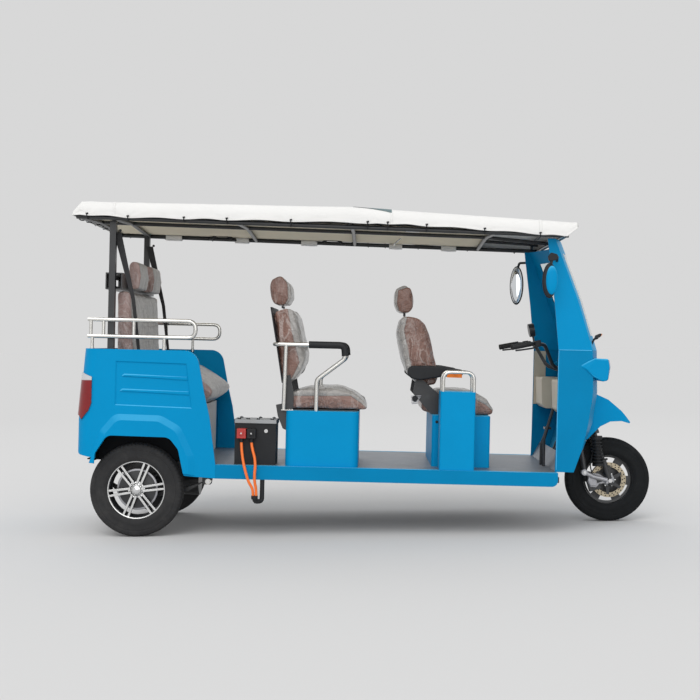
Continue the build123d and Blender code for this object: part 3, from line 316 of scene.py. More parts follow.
# Name, colour, roughness, metal, spread of the colour, scale of its patches, scale of the grain,
# strength of the bump, depth of the bump in metres, further settings
LOOKS = {
    "blue": ("blue_paint", BLUE, 0.4, 0, 0.03, 3, 900, 0.04, 0.0006, SKY_LIT_PAINT),
    # Painted shade: a darker copy of the blue paint for the low panels near the ground
    "blue_low_shaded": ("blue_paint_low", shade(BLUE, 0.80)[:3], 0.4, 0, 0.05, 3, 900, 0.04, 0.0006,
                 SKY_LIT_PAINT),
    # Painted shade: a darker copy of the blue paint inside the rear body
    "blue_inner_shaded": ("blue_paint_inner", shade(BLUE, 0.55)[:3], 0.5, 0, 0.05, 3, 900, 0.04, 0.0006,
                   dict(PAINT, color_by=inner_bands)),
    "black": ("black_frame_paint", (0.018, 0.019, 0.021), 0.42, 0, 0.2, 12, 700, 0.12, 0.001,
              dict(edge=0.0015, color_by=dusty((0.10, 0.10, 0.10), 0.55, 0.85, 0.35),
                   Coat_Weight=0.3, Coat_Roughness=0.3)),
    "steel": ("stainless_steel", (0.70, 0.69, 0.66), 0.2, 1, 0.05, 10, 300, 0.08, 0.001,
              dict(height=brushed)),
    "plate": ("tread_plate_steel", (0.26, 0.28, 0.31), 0.45, 0.75, 0.12, 5, 300, 0.5, 0.0015,
              dict(height=tread_plate, color_by=dusty((0.36, 0.35, 0.33), 0.5, 0.8, 0.4))),
    "grey": ("grey_primer", (0.30, 0.31, 0.32), 0.55, 0, 0.08, 6, 500, 0.1, 0.001,
             dict(edge=0.002, color_by=dusty((0.45, 0.43, 0.40), 0.5, 0.8, 0.3))),
    "canvas": ("roof_canvas", (0.81, 0.805, 0.79), 0.85, 0, 0.02, 4, 900, 0.35, 0.0008,
               dict(height=woven(900.0), color_by=dusty((0.66, 0.63, 0.56), 0.62, 0.9, 0.25),
                    Sheen_Weight=0.15)),
    "liner": ("roof_liner_cloth", (0.80, 0.72, 0.56), 0.9, 0, 0.06, 4, 700, 0.3, 0.0008,
              dict(height=woven(700.0))),
    "patch": ("roof_patch", (0.13, 0.19, 0.20), 0.6, 0, 0.1, 5, 900, 0.3, 0.0006,
              dict(height=woven(900.0))),
    # The seat covers carry painted highlights on the folds of their clear film
    "leather": ("wrapped_leather", (0.19, 0.095, 0.072), 0.4, 0, 0.2, 8, 900, 0.9, 0.006,
                dict(height=crumpled(9.0), color_by=painted_film_glints(16.0, 0.22),
                     Coat_Weight=0.6, Coat_Roughness=0.1)),
    "seat": ("seat_cover", (0.20, 0.105, 0.080), 0.4, 0, 0.16, 8, 900, 0.75, 0.006,
             dict(height=crumpled(9.0), color_by=by_band(painted_film_glints(9.0, 0.32), (0.30, 0.285, 0.27)),
                  Coat_Weight=0.5, Coat_Roughness=0.11)),
    "seat_grey": ("seat_cover_grey", (0.32, 0.215, 0.195), 0.4, 0, 0.14, 8, 900, 0.7, 0.005,
                  dict(height=crumpled(10.0),
                       color_by=by_band(painted_film_glints(9.0, 0.25), (0.34, 0.33, 0.32)),
                       Coat_Weight=0.4, Coat_Roughness=0.14)),
    "plastic": ("black_plastic", (0.014, 0.015, 0.017), 0.5, 0, 0.15, 15, 1500, 0.25, 0.0005,
                dict(edge=0.0015, color_by=dusty((0.08, 0.08, 0.08), 0.6, 0.9, 0.2),
                     Specular_IOR_Level=0.28)),
    "red": ("red_socket", (0.42, 0.02, 0.015), 0.35, 0, 0.06, 10, 800, 0.1, 0.0004,
            dict(edge=0.001, Coat_Weight=0.4)),
    "cream": ("cream_plastic", (0.62, 0.55, 0.43), 0.45, 0, 0.05, 6, 900, 0.15, 0.0005,
              dict(edge=0.002)),
    "lamp": ("red_lens", (0.20, 0.010, 0.012), 0.2, 0, 0.1, 14, 120, 0.15, 0.001,
             dict(color_by=clear_top, Coat_Weight=0.35, Coat_Roughness=0.08,
                  Specular_IOR_Level=0.3, height=ribbed(55.0, "Z"))),
    "webbing": ("belt_webbing", (0.02, 0.02, 0.022), 0.75, 0, 0.15, 10, 800, 0.6, 0.0006,
                dict(height=woven(600.0, 0.1))),
    "orange": ("cable_sheath", (0.87, 0.17, 0.02), 0.45, 0, 0.06, 15, 700, 0.15, 0.0004,
               dict(Subsurface_Weight=0.05)),
    "tyre": ("tyre_rubber", (0.022, 0.022, 0.023), 0.72, 0, 0.12, 14, 700, 0.25, 0.0006,
             dict(color_by=dusty((0.09, 0.085, 0.08), 0.5, 0.8, 0.3), Specular_IOR_Level=0.3)),
    "tyre_dark": ("tyre_rubber_dark", (0.009, 0.010, 0.011), 0.7, 0, 0.12, 14, 700, 0.25, 0.0006,
                  dict(color_by=dusty((0.05, 0.05, 0.05), 0.55, 0.85, 0.2),
                       Specular_IOR_Level=0.15)),
    "alloy": ("machined_alloy", (0.72, 0.72, 0.71), 0.26, 1, 0.05, 12, 500, 0.08, 0.0004,
              dict(edge=0.0015)),
    "disc": ("disc_steel", (0.55, 0.55, 0.55), 0.3, 1, 0.08, 20, 700, 0.1, 0.0003, {}),
    "chrome": ("bright_chrome", (0.82, 0.82, 0.82), 0.06, 1, 0.02, 10, 200, 0.03, 0.0003, {}),
    "mirror": ("mirror_glass", (0.80, 0.82, 0.84), 0.02, 1, 0.01, 10, 50, 0.01, 0.0002, {}),
    "glass": ("clear_glass", (0.86, 0.93, 0.93), 0.02, 0, 0.01, 6, 60, 0.01, 0.0002,
              dict(Transmission_Weight=1.0, IOR=1.3)),
    "lens": ("lamp_lens", (0.80, 0.84, 0.88), 0.05, 0, 0.03, 6, 200, 0.2, 0.001,
             dict(Transmission_Weight=0.6, IOR=1.45, height=ribbed(60.0, "Y"))),
    "grip": ("grip_rubber", (0.02, 0.02, 0.02), 0.7, 0, 0.1, 20, 900, 0.6, 0.001,
             dict(height=ribbed(150.0, "Y"))),
    "brass": ("disc_brass", (0.42, 0.36, 0.26), 0.35, 0.85, 0.1, 30, 700, 0.1, 0.0003, {}),
    "cast": ("cast_grey", (0.38, 0.38, 0.40), 0.4, 0.6, 0.1, 18, 500, 0.25, 0.0006,
             dict(edge=0.002)),
    # Painted highlight: a paler copy of the blue paint, for thin lines where the shield's seam and
    # edge catch the light
    "blue_painted_highlight": ("blue_edge", (0.10, 0.50, 0.80), 0.4, 0, 0.04, 8, 700, 0.05, 0.0004,
                  dict(Specular_IOR_Level=0.1)),
    "tag": ("orange_tag_card", (0.80, 0.20, 0.03), 0.6, 0, 0.06, 12, 700, 0.1, 0.0004,
            dict(Specular_IOR_Level=0.2)),
    "amber": ("amber_lens", (0.75, 0.20, 0.01), 0.15, 0, 0.05, 20, 200, 0.1, 0.0005,
              dict(Coat_Weight=1.0)),
}
M = {key: material(*row, **further) for key, (*row, further) in LOOKS.items()}
# Every other node is painted black
NODE_LOOKS = {
    "blue": "headlamps mudguard rear_door rear_side_left rear_side_right seat_boxes upper_shield",
    "blue_low_shaded": "lower_shield side_sills",
    "blue_inner_shaded": "rear_inner_body",
    "leather": "driver_seat_back driver_seat_cushion headrests middle_seat_back "
               "middle_seat_cushion rear_seat_back rear_seat_cushion",
    "plastic": "arm_pads battery cable_conduit",
    "red": "battery_sockets",
    "disc": "brake_disc",
    "cream": "dash",
    "plate": "floor_plate",
    "tyre": "front_tyre rear_tyre_left rear_tyre_right",
    "grip": "grips",
    "steel": "hand_rails luggage_rails",
    "alloy": "rear_rim_left rear_rim_right",
    "canvas": "roof_cover",
    "liner": "roof_liner",
    "webbing": "seat_belts",
    "lamp": "tail_lamps",
    "glass": "windshield",
    "orange": "charge_cable_front charge_cable_rear",
}
look_of = {name: key for key, names in NODE_LOOKS.items() for name in names.split()}
for name, piece in nodes.items():
    piece.data.materials.clear()
    piece.data.materials.append(M[look_of.get(name, "black")])


# Making pieces
def place(piece, look, body="chassis"):
    if look:
        piece.data.materials.append(M[look])
    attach(piece, body)
    return piece


def mesh_piece(name, points, faces, look=None, body="chassis", smooth=True):
    data = bpy.data.meshes.new(name)
    data.from_pydata([tuple(p) for p in points], [], faces)
    data.validate()
    bm = bmesh.new()
    bm.from_mesh(data)
    bmesh.ops.recalc_face_normals(bm, faces=bm.faces)
    bm.to_mesh(data)
    bm.free()
    if smooth:
        data.shade_smooth()
    piece = linked(name, data)
    return place(piece, look, body) if look else piece


def rounded(points, radius, steps=5, closed=False):
    """The points with each corner replaced by an arc."""
    points = [Vector(p) for p in points]
    out = []
    for n, here in enumerate(points):
        if not closed and n in (0, len(points) - 1):
            out.append(here)
            continue
        to_a, to_b = points[n - 1] - here, points[(n + 1) % len(points)] - here
        reach = radius / math.tan(to_a.angle(to_b) / 2)
        cut = min(reach, to_a.length * 0.48, to_b.length * 0.48)
        if cut < 1e-5:
            out.append(here)
            continue
        start, end = here + to_a.normalized() * cut, here + to_b.normalized() * cut
        for k in range(steps + 1):
            t = k / steps
            out.append(start * (1 - t) ** 2 + here * 2 * t * (1 - t) + end * t ** 2)
    return out


def curve(name, kind, line, radius=0.0, sides=0):
    """A curve through the points of a line, as a round bar of the radius."""
    data = bpy.data.curves.new(name, "CURVE")
    data.dimensions = "3D"
    data.bevel_depth = radius
    data.bevel_resolution = sides
    spline = data.splines.new(kind)
    spline.points.add(len(line) - 1)
    for point, where in zip(spline.points, line):
        point.co = (*where, 1.0)
    return data, spline


def rod(name, points, radius, look, body="chassis", bend=0.0, sides=3, closed=False):
    """A round bar through points of the row frame."""
    line = rounded(points, bend, 5, closed) if bend else [Vector(p) for p in points]
    data, spline = curve(name, "POLY", line, radius, sides)
    data.use_fill_caps = not closed
    spline.use_cyclic_u = closed
    return place(linked(name, data), look, body)


def bar(name, points, radius, look, body="chassis", bend=0.0, sides=3):
    """A round bar through points of the level body, all in millimetres."""
    line = [at(*p) for p in points]
    return rod(name, line, radius / 1000, look, body, bend / 1000, sides)


def bars(name, radius, look, bend, *paths, slot=None, sides=5):
    return [bar(f"{name}_{n}", path, radius, look, "chassis", bend, sides)
            for n, path in enumerate(paths)]


def add_bevel(piece, width, segments=2):
    bevel = piece.modifiers.new("bevel", "BEVEL")
    bevel.width = width
    bevel.segments = segments
    bevel.limit_method = "ANGLE"
    bevel.angle_limit = math.radians(40)
    bevel.harden_normals = False
    return piece


def thicken(piece, thickness, offset):
    solid = piece.modifiers.new("thickness", "SOLIDIFY")
    solid.thickness = thickness
    solid.offset = offset


def prism_faces(count):
    """Two end faces and the sides between two outlines of so many points."""
    faces = [tuple(range(count)), tuple(range(2 * count - 1, count - 1, -1))]
    return faces + [(n, (n + 1) % count, (n + 1) % count + count, n + count) for n in range(count)]


def grid_faces(rows, wide, wrap=False):
    """Faces between rows of points, with wrap also from the last of a row to its first."""
    faces = []
    for low in range(0, (rows - 1) * wide, wide):
        for n in range(wide if wrap else wide - 1):
            after = (n + 1) % wide
            faces.append((low + n, low + after, low + wide + after, low + wide + n))
    return faces


def slab(name, outline, y0, y1, look, body="chassis", corner=0, bevel=0, put=at):
    """A plate drawn in side view, x and z, between two heights of y, all in millimetres."""
    flat = [(x, 0, z) for x, z in outline]
    line = rounded(flat, corner, 4, True) if corner else [Vector(p) for p in flat]
    points = [put(p.x, y, p.z) for y in (y0, y1) for p in line]
    piece = mesh_piece(name, points, prism_faces(len(line)), look, body, smooth=False)
    return add_bevel(piece, bevel / 1000, 3) if bevel else piece


def oblong(x0, x1, z0, z1):
    return [(x0, z0), (x1, z0), (x1, z1), (x0, z1)]


# Charge cables, from the sockets down to their free ends
CABLE_ROUTES = {
    "charge_cable_rear": [
        (608, -512, 589.8), (608, -512, 560), (613, -528, 520), (622, -556, 478), (634, -574, 432),
        (648, -580, 385), (664, -580, 340), (688, -576, 305), (688, -576, 268),
    ],
    "charge_cable_front": [
        (666, -512, 589.8), (666, -512, 560), (676, -528, 522), (692, -556, 480), (698, -574, 436),
        (694, -580, 390), (696, -580, 345), (706, -576, 305), (706, -576, 268),
    ],
}


def cable_curve(name, points, steps, radius=0.0, sides=0):
    data, spline = curve(name, "NURBS", points, radius, sides)
    spline.order_u = 3
    spline.use_endpoint_u = True
    spline.resolution_u = steps
    return data


def spline_length(points):
    """Length of the curve through evaluated points of a NURBS spline."""
    holder = bpy.data.objects.new("measure", cable_curve("measure", points, 24))
    mesh = bpy.data.meshes.new_from_object(holder)
    line = [v.co.copy() for v in mesh.vertices]
    bpy.data.objects.remove(holder)
    return sum((b - a).length for a, b in zip(line, line[1:]))


for name, route in CABLE_ROUTES.items():
    where = [at(*p) for p in route]
    data = cable_curve(name + "_cord", where, 12, 0.008, 5)
    data.use_fill_caps = True
    cable = place(linked(name + "_cord", data), "orange")
    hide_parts(name)
    spline_length(where)


# Small sums used by several pieces
def between(rows, x):
    """The row at x of a table sorted by its first column."""
    for a, b in zip(rows, rows[1:]):
        if x <= b[0]:
            t = (x - a[0]) / (b[0] - a[0])
            return [p + (q - p) * t for p, q in zip(a, b)]
    return list(rows[-1])


def hump(x, a, b):
    """One smooth rise and fall from a to b."""
    return math.sin(math.pi * (x - a) / (b - a)) ** 2


def to_level(points):
    """Points of the row frame, in metres, as millimetres of the level body."""
    c, s = math.cos(LEAN), math.sin(LEAN)
    x = points[:, 0] * 1000 - AXLE_X
    z = points[:, 2] * 1000 - AXLE_Z
    return np.stack((x * c - z * s, points[:, 1] * 1000, AXLE_Z + x * s + z * c), axis=1)


def signed_distance(x, z, line):
    """Distance of points from a line of points in side view, above zero on its left."""
    best = np.full(len(x), 1e9)
    sign = np.ones(len(x))
    for (ax, az), (bx, bz) in zip(line, line[1:]):
        dx, dz = bx - ax, bz - az
        t = np.clip(((x - ax) * dx + (z - az) * dz) / (dx * dx + dz * dz), 0, 1)
        gap = np.hypot(x - ax - t * dx, z - az - t * dz)
        side = np.sign(dx * (z - az) - dz * (x - ax))
        nearer = gap < best
        best = np.where(nearer, gap, best)
        sign = np.where(nearer, side, sign)
    return best * sign


# Canopy: one sheet drawn over the roof frame
CANOPY_REAR, CANOPY_FRONT = -373, 2500
CANOPY_HALF, CANOPY_CROWN = 598.0, 13.0
# x, height and radius of the shoulder
CANOPY_TOP = [(-373, 1876, 20), (-335, 1931, 58), (1205, 1931, 60), (2440, 1871, 60),
              (2500, 1864, 18)]
# x, height of the hem
CANOPY_HEM = [(-373, 1850), (-292, 1849), (-58, 1839), (262, 1838), (975, 1836), (1423, 1834),
              (1644, 1826), (1973, 1810), (2288, 1792), (2440, 1787), (2500, 1838)]
CANOPY_TIES = [-366, -292, -58, 262, 507, 872, 1309, 1423, 1644, 1973, 2288, 2440]
CANOPY_BOWS = [-335, 560, 1205, 2040, 2440]
REAR_TIES = 3
TIE_REACH = 420


def canopy_form(x):
    """Hem, top and shoulder radius at x, then the lengths of wall, shoulder and half roof."""
    edge = between(CANOPY_HEM, x)[1]
    _, top, radius = between(CANOPY_TOP, x)
    wall, shoulder = max(top - radius - edge, 2.0), radius * math.pi / 2
    return edge, top, radius, wall, shoulder, CANOPY_HALF - radius


def canopy_push(x, side, length, height):
    """How far the sheet stands out from the plain form: folds at the ties, sag, unevenness."""
    push = 0.0
    for n, tie in enumerate(CANOPY_TIES):
        r = math.hypot(x - tie, length)
        if r < TIE_REACH:
            rear = n < REAR_TIES
            strong = 4.6 if rear else 3.2 if n % 3 == 1 else 2.0
            fan = math.cos((6 + n % 3) * math.atan2(length, x - tie) + 1.7 * n + 0.9 * side)
            push += 0.45 * strong * fan * math.exp(-r / (120 if rear else 85)) * min(1.0, r / 30)
    push += 0.35 * math.sin(x / 61 + 1.3 * side) * math.sin(length / 47 + x / 210)
    push += 0.3 * math.sin(x / 137 - length / 29 + 2.1 * side)
    if height > 0.5:
        for a, b in zip(CANOPY_BOWS, CANOPY_BOWS[1:]):
            if a < x < b:
                push -= 4.0 * hump(x, a, b) * min(1.0, max(0, length - 90) / 250)
    return push


def canopy_place(x, side, length, lift=0.0, front=0.0, rear=0.0):
    """A point of the canopy, so far along the cut from the hem of one side."""
    edge, top, radius, wall, shoulder, inner = canopy_form(x)
    if length <= wall:
        y, z, ny, nz = -CANOPY_HALF, edge + length, -1.0, 0.0
    elif length <= wall + shoulder:
        a = math.pi - (length - wall) / radius
        ny, nz = math.cos(a), math.sin(a)
        y, z = -CANOPY_HALF + radius * (1 + ny), top - radius * (1 - nz)
    else:
        y = min(0.0, -inner + length - wall - shoulder)
        z, ny, nz = top + CANOPY_CROWN * (1 - (y / inner) ** 2), 0.0, 1.0
    for a, b in zip(CANOPY_TIES, CANOPY_TIES[1:]):
        if a < x < b:
            z += min(7.0, (b - a) * 0.03) * hump(x, a, b) * math.exp(-length / 30)
    push = canopy_push(x, side, length, nz) * (1 - front) * (1 - rear) + lift
    y, z = y + ny * push, z + nz * push
    if front:
        z += (1787 - z) * front
        x -= 74 * front - 9 * math.sin(math.pi * front)
    if rear:
        z += (1847 - z) * rear
        x -= 3 * math.sin(math.pi * rear)
    return at(x, side * y, z)


def canopy_cuts(x):
    """Lengths from the hem at which the sheet has its points, hem to ridge."""
    *_, wall, shoulder, run = canopy_form(x)
    cuts = [wall * k / 5 for k in range(5)]
    cuts += [wall + shoulder * k / 7 for k in range(7)]
    return cuts + [wall + shoulder + run * (k / 20) ** 1.3 for k in range(21)]


def both_sides(x):
    """Side and length of every point of a cut, from the right hem over to the left one."""
    cuts = canopy_cuts(x)
    return [(1, cut) for cut in cuts] + [(-1, cut) for cut in reversed(cuts[:-1])]


def canopy_seam(name, x, half):
    edge = ((-half, 0.6), (-half + 1, 2.2), (half - 1, 2.2), (half, 0.6))
    strip = [canopy_place(x + dx, side, cut, lift)
             for side, cut in both_sides(x) for dx, lift in edge]
    return mesh_piece(name, strip, grid_faces(len(strip) // 4, 4), "canvas")


def canopy_patch():
    points = []
    for k in range(15):
        x = 1222 + 222 * k / 14
        *_, wall, shoulder, _ = canopy_form(x)
        low = wall + shoulder * (1 - 0.58 * k / 14)
        high = wall + shoulder + 45
        points += [canopy_place(x, 1, low + (high - low) * j / 8, 2.4) for j in range(9)]
    return mesh_piece("canopy_patch", points, grid_faces(15, 9), "patch")


def build_canopy():
    xs = {round(v, 1) for v in np.linspace(CANOPY_REAR, CANOPY_FRONT, 230)}
    plan = [(CANOPY_REAR, 0.0, drop) for drop in (1.0, 0.66, 0.33)]
    plan += [(x, 0.0, 0.0) for x in sorted(xs | {-335.0, 1205.0, 2440.0})]
    plan += [(CANOPY_FRONT, t / 6, 0.0) for t in range(1, 7)]
    rows = [[canopy_place(x, side, cut, 0, front, rear) for side, cut in both_sides(x)]
            for x, front, rear in plan]
    points = [p for row in rows for p in row]
    faces = grid_faces(len(rows), len(rows[0]))
    sheet = mesh_piece("canopy_sheet", points, faces, "canvas")
    thicken(sheet, 0.0016, -1.0)
    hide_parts("roof_cover")
    hem_line = [row[0] for row in rows] + rows[-1][1:-1]
    hem_line += [row[-1] for row in reversed(rows)] + rows[0][-2:0:-1]
    lowered = [p - Vector((0, 0, 0.001)) for p in hem_line]
    extras = [rod("canopy_hem", lowered, 0.0034, "canvas", closed=True)]
    for k, (x, half) in enumerate([(-140, 7), (1444, 6), (2290, 8)]):
        extras.append(canopy_seam(f"canopy_seam_{k}", x, half))
    extras.append(canopy_patch())


build_canopy()


# Ties, tube sleeves and grab handles under the canopy
def rail_z(x):
    """Height of the side rail of the roof."""
    return 1842.0 - (x + 348.0) * 0.0178


for side, word in SIDES:
    for n, x in enumerate(CANOPY_TIES[1:-1]):
        z, tube = between(CANOPY_HEM, x)[1], rail_z(x)
        bar(f"canopy_tie_{n}_{word}", [
            (x - 3, side * 600, z + 9), (x - 1, side * 602, z - 2),
            (x, side * 590, min(z, tube) - 12), (x + 2, side * 572, tube - 12),
        ], 3.2, "plastic", bend=6)
        knot = [(x - 7, side * 602, z + 7), (x + 6, side * 602, z + 9)]
        bar(f"canopy_knot_{n}_{word}", knot, 4.2, "plastic")
for n, y in enumerate((-430, -250, -40, 170, 360)):
    tube = 1829 + 24 * (1 - abs(y) / 560)
    tie = [(-376, y, 1852), (-382, y, 1842), (-368, y, tube), (-350, y, tube)]
    bar(f"canopy_rear_tie_{n}", tie, 3.4, "plastic", bend=8)
SLEEVE_RINGS, SLEEVE_POINTS = 9, 20
for n, (x0, x1) in enumerate([(-47, 61), (417, 511), (861, 968), (1449, 1536), (1796, 1896)]):
    ring = []
    for row in range(SLEEVE_RINGS):
        t = row / (SLEEVE_RINGS - 1)
        x = x0 + (x1 - x0) * t
        r = 14.4 + (1.6 * math.sin(math.pi * t) + 0.5 * math.sin(9 * t + n))
        for k in range(SLEEVE_POINTS):
            a = 2 * math.pi * k / SLEEVE_POINTS
            drop = 6 if math.sin(a) < -0.4 else 0
            ring.append(at(x, 560 + r * math.cos(a), rail_z(x) + r * math.sin(a) - drop))
    faces = grid_faces(SLEEVE_RINGS, SLEEVE_POINTS, True)
    sleeve = mesh_piece(f"tube_sleeve_{n}", ring, faces, "canvas")
    thicken(sleeve, 0.0015, 1.0)
for n, (x0, x1) in enumerate([(249, 423), (989, 1155)]):
    z0, z1 = rail_z(x0), rail_z(x1)
    bar(f"grab_handle_{n}", [
        (x0, 549, z0 - 4), (x0 + 12, 520, z0 - 2), (x0 + 48, 505, z0 + 20),
        (x1 - 48, 505, z1 + 20), (x1 - 12, 520, z1 - 2), (x1, 549, z1 - 4),
    ], 8.5, "plastic", bend=30, sides=4)
stay = [(1555, 235, 1868), (1481, 330, rail_z(1481) - 6), (1478, 548, rail_z(1481))]
bar("roof_stay", stay, 4.5, "steel", bend=10)
slab("roof_lamp", [(1521, 1800), (1612, 1798), (1612, 1812), (1521, 1814)], -548, -500, "plastic",
     bevel=4)
slab("roof_lamp_glass", [(1527, 1797.5), (1606, 1795.8), (1606, 1799), (1527, 1801)], -541, -507,
     "lens", bevel=1)


# Seat pads: a plain form inflated as cloth, held at its base and along its seams
PAD_HOLD, PAD_FRAMES, SEAM_RISE = 9.0, 20, 45


def vectors(piece, key="co"):
    """Places, or normals, of the points of a piece."""
    flat = np.empty(3 * len(piece.data.vertices))
    piece.data.vertices.foreach_get(key, flat)
    return flat.reshape(-1, 3)


def bake(piece):
    """Applies the modifiers of a piece to its mesh."""
    seen = piece.evaluated_get(bpy.context.evaluated_depsgraph_get())
    made = bpy.data.meshes.new_from_object(seen)
    piece.modifiers.clear()
    old = piece.data
    piece.data = made
    bpy.data.meshes.remove(old)


def by_line(*line):
    return lambda level: signed_distance(level[:, 0], level[:, 2], line)


def by_side(centre, half):
    return lambda level: half - np.abs(level[:, 1] - centre)


def inflated(pad, held):
    """Where the points of a pad go when it is blown up as cloth."""
    group = pad.vertex_groups.new(name="held")
    group.add([int(k) for k in np.nonzero(held)[0]], 1.0, "REPLACE")
    cloth = pad.modifiers.new("cloth", "CLOTH")
    rule = cloth.settings
    rule.quality = 4
    rule.mass = 0.35
    rule.tension_stiffness = rule.compression_stiffness = 12
    rule.shear_stiffness = 5
    rule.bending_stiffness = 0.6
    rule.use_pressure = True
    rule.uniform_pressure_force = 4.0
    rule.vertex_group_mass = "held"
    rule.effector_weights.gravity = 0
    cloth.collision_settings.use_collision = False
    cloth.collision_settings.use_self_collision = False
    cloth.point_cache.frame_start = 1
    cloth.point_cache.frame_end = PAD_FRAMES
    for number in range(1, PAD_FRAMES + 1):
        scene.frame_set(number)
    moved = vectors(pad.evaluated_get(bpy.context.evaluated_depsgraph_get()))
    pad.modifiers.remove(cloth)
    scene.frame_set(1)
    return moved


def pad_form(name, outline, y, shrink, corner, cell):
    """The plain form of a pad, a little smaller than the pad, in even cells."""
    xs, zs = [p[0] for p in outline], [p[1] for p in outline]
    cx, cz = (min(xs) + max(xs)) / 2, (min(zs) + max(zs)) / 2
    fx, fz = 1 - 2 * shrink / (max(xs) - min(xs)), 1 - 2 * shrink / (max(zs) - min(zs))
    smaller = [(cx + (x - cx) * fx, 0, cz + (z - cz) * fz) for x, z in outline]
    line = rounded(smaller, corner, 4, True)
    points = [at(p.x, end, p.z) for end in (y[0] + shrink, y[1] - shrink) for p in line]
    pad = mesh_piece(name, points, prism_faces(len(line)))
    remesh = pad.modifiers.new("remesh", "REMESH")
    remesh.mode = "VOXEL"
    remesh.voxel_size = cell
    ease = pad.modifiers.new("ease", "SMOOTH")
    ease.factor = 0.5
    ease.iterations = 4
    bake(pad)
    return pad


def seat_pad(name, outline, y, band, nodes=(), cell=0.010, cap=0.014, shrink=7.0, corner=22.0,
             look="seat", base=None, pleats=0.0):
    pad = pad_form(name, outline, y, shrink, corner, cell)
    where = vectors(pad)
    level = to_level(where)
    edge = band(level)
    above = level[:, 2] - level[:, 2].min()
    held = np.abs(edge) < PAD_HOLD
    moved = inflated(pad, held if base is None else held | (above < base))
    step = moved - where
    size = np.linalg.norm(step, axis=1)
    step *= np.where(size > cap, cap / np.maximum(size, 1e-9), 1.0)[:, None]
    pad.data.vertices.foreach_set("co", (where + step).ravel())
    pad.data.update()
    finer = pad.modifiers.new("finer", "SUBSURF")
    finer.levels = finer.render_levels = 1
    bake(pad)
    where = vectors(pad)
    level = to_level(where)
    edge = band(level)
    dent = -0.0032 * np.exp(-(edge / 5.5) ** 2)
    if pleats:
        across = np.abs(np.sin(math.pi * level[:, 1] / pleats))
        dent += np.where(edge > 8, 0.0042 * (across ** 0.5 - 1.0), 0.0)
    rest = 1.0
    if base is not None:
        rest = np.clip((level[:, 2] - level[:, 2].min() - base) / 20, 0, 1)
    folds = 0.0011 * np.sin(level[:, 0] / 13 + level[:, 2] / 21)
    folds *= np.sin(level[:, 1] / 17 + level[:, 2] / 33)
    out = vectors(pad, "normal") * ((dent + folds) * rest)[:, None]
    pad.data.vertices.foreach_set("co", (where + out).ravel())
    mark = pad.data.attributes.new("band", "FLOAT", "POINT")
    mark.data.foreach_set("value", edge.astype(np.float32))
    pad.data.shade_smooth()
    pad.data.update()
    place(pad, look)
    if nodes:
        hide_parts(*nodes)


# Outlines in side view, x and z, then the reach in y and the seam
seat_pad("rear_bench_cushion",
         [(-88, 756), (338, 756), (424, 826), (436, 852), (398, 892), (237, 996), (100, 994),
          (-35, 952), (-88, 952)],
         (-427, 427), by_side(0, 405), ["rear_seat_cushion"],
         cell=0.013, cap=0.016, base=20, corner=30, look="seat_grey", pleats=34)
seat_pad("rear_bench_back", [(-150, 950), (-36, 950), (-50, 1200), (-66, 1433), (-158, 1433)],
         (-427, 427), by_side(0, 404), ["rear_seat_back"],
         cell=0.012, cap=0.014, corner=26, look="seat_grey", pleats=29)
for side, word in SIDES:
    seat_pad(f"rear_headrest_{word}",
             [(-106, 1436), (-36, 1436), (-24, 1520), (-38, 1602), (-80, 1616), (-106, 1592)],
             (side * 210 - 136, side * 210 + 136), by_side(side * 210, 116),
             ["headrests"] if side < 0 else (),
             cell=0.0075, cap=0.009, shrink=5, look="seat_grey", pleats=27)
seat_pad("middle_headrest",
         [(760, 1364), (845, 1364), (874, 1408), (863, 1491), (803, 1546), (745, 1524),
          (732, 1484)],
         (-356, -84), by_line((806, 1570), (842, 1489), (848, 1408), (815, 1340)),
         cell=0.0075, cap=0.009, shrink=5)
seat_pad("driver_headrest",
         [(1500, 1343), (1578, 1343), (1600, 1378), (1583, 1498), (1540, 1517), (1480, 1492),
          (1476, 1400)],
         (-136, 136), by_line((1520, 1320), (1494, 1400), (1500, 1480), (1590, 1512)),
         cell=0.0075, cap=0.009, shrink=5)
seat_pad("middle_cushion",
         [(838, 760), (1345, 760), (1322, 822), (1258, 871), (1168, 890), (936, 882), (858, 852)],
         (-471, 31), by_line((790, 790), (866, 838), (1232, 846), (1292, 806), (1370, 740)),
         ["middle_seat_cushion"], base=14, corner=30, cap=0.015)
seat_pad("middle_back",
         [(766, 1352), (889, 1352), (934, 1163), (969, 1035), (936, 960), (872, 902), (836, 914),
          (800, 1150)],
         (-471, 31), by_line((846, 1380), (893, 1163), (930, 1035), (900, 965), (850, 880)),
         ["middle_seat_back"], corner=26)
seat_pad("driver_cushion",
         [(1642, 754), (1722, 732), (2080, 732), (2095, 766), (2051, 843), (1979, 879),
          (1780, 882), (1650, 852)],
         (-246, 246), by_line((1590, 790), (1700, 838), (1960, 838), (2040, 800), (2120, 730)),
         ["driver_seat_cushion"], base=14, corner=26)
seat_pad("driver_back",
         [(1507, 1328), (1600, 1328), (1634, 1318), (1684, 1211), (1729, 1033), (1750, 913),
          (1735, 891), (1642, 896), (1555, 987), (1501, 1237)],
         (-246, 246), by_line((1660, 870), (1592, 1000), (1538, 1237), (1560, 1345)),
         ["driver_seat_back"], corner=26)


# Wheels, turned about the Y axis at the wheel centres of the frame
def turned(name, profile, centre, side, look, body, segments=120, cut=None):
    """A turned piece: rows of radius and distance outward from the wheel's middle, in mm."""
    points, faces = [], []
    count = len(profile)
    for k in range(segments):
        angle = 2 * math.pi * k / segments
        for radius, y in profile:
            r = radius - (cut(k, radius, y) if cut else 0)
            spot = Vector((r * math.cos(angle), side * y, r * math.sin(angle)))
            points.append(centre + spot / 1000)
        for n in range(count - 1):
            a, b = k * count + n, ((k + 1) % segments) * count + n
            faces.append((a, b, b + 1, a + 1))
    piece = mesh_piece(name, points, faces, look, body)
    piece.data.set_sharp_from_angle(angle=math.radians(32))
    return piece


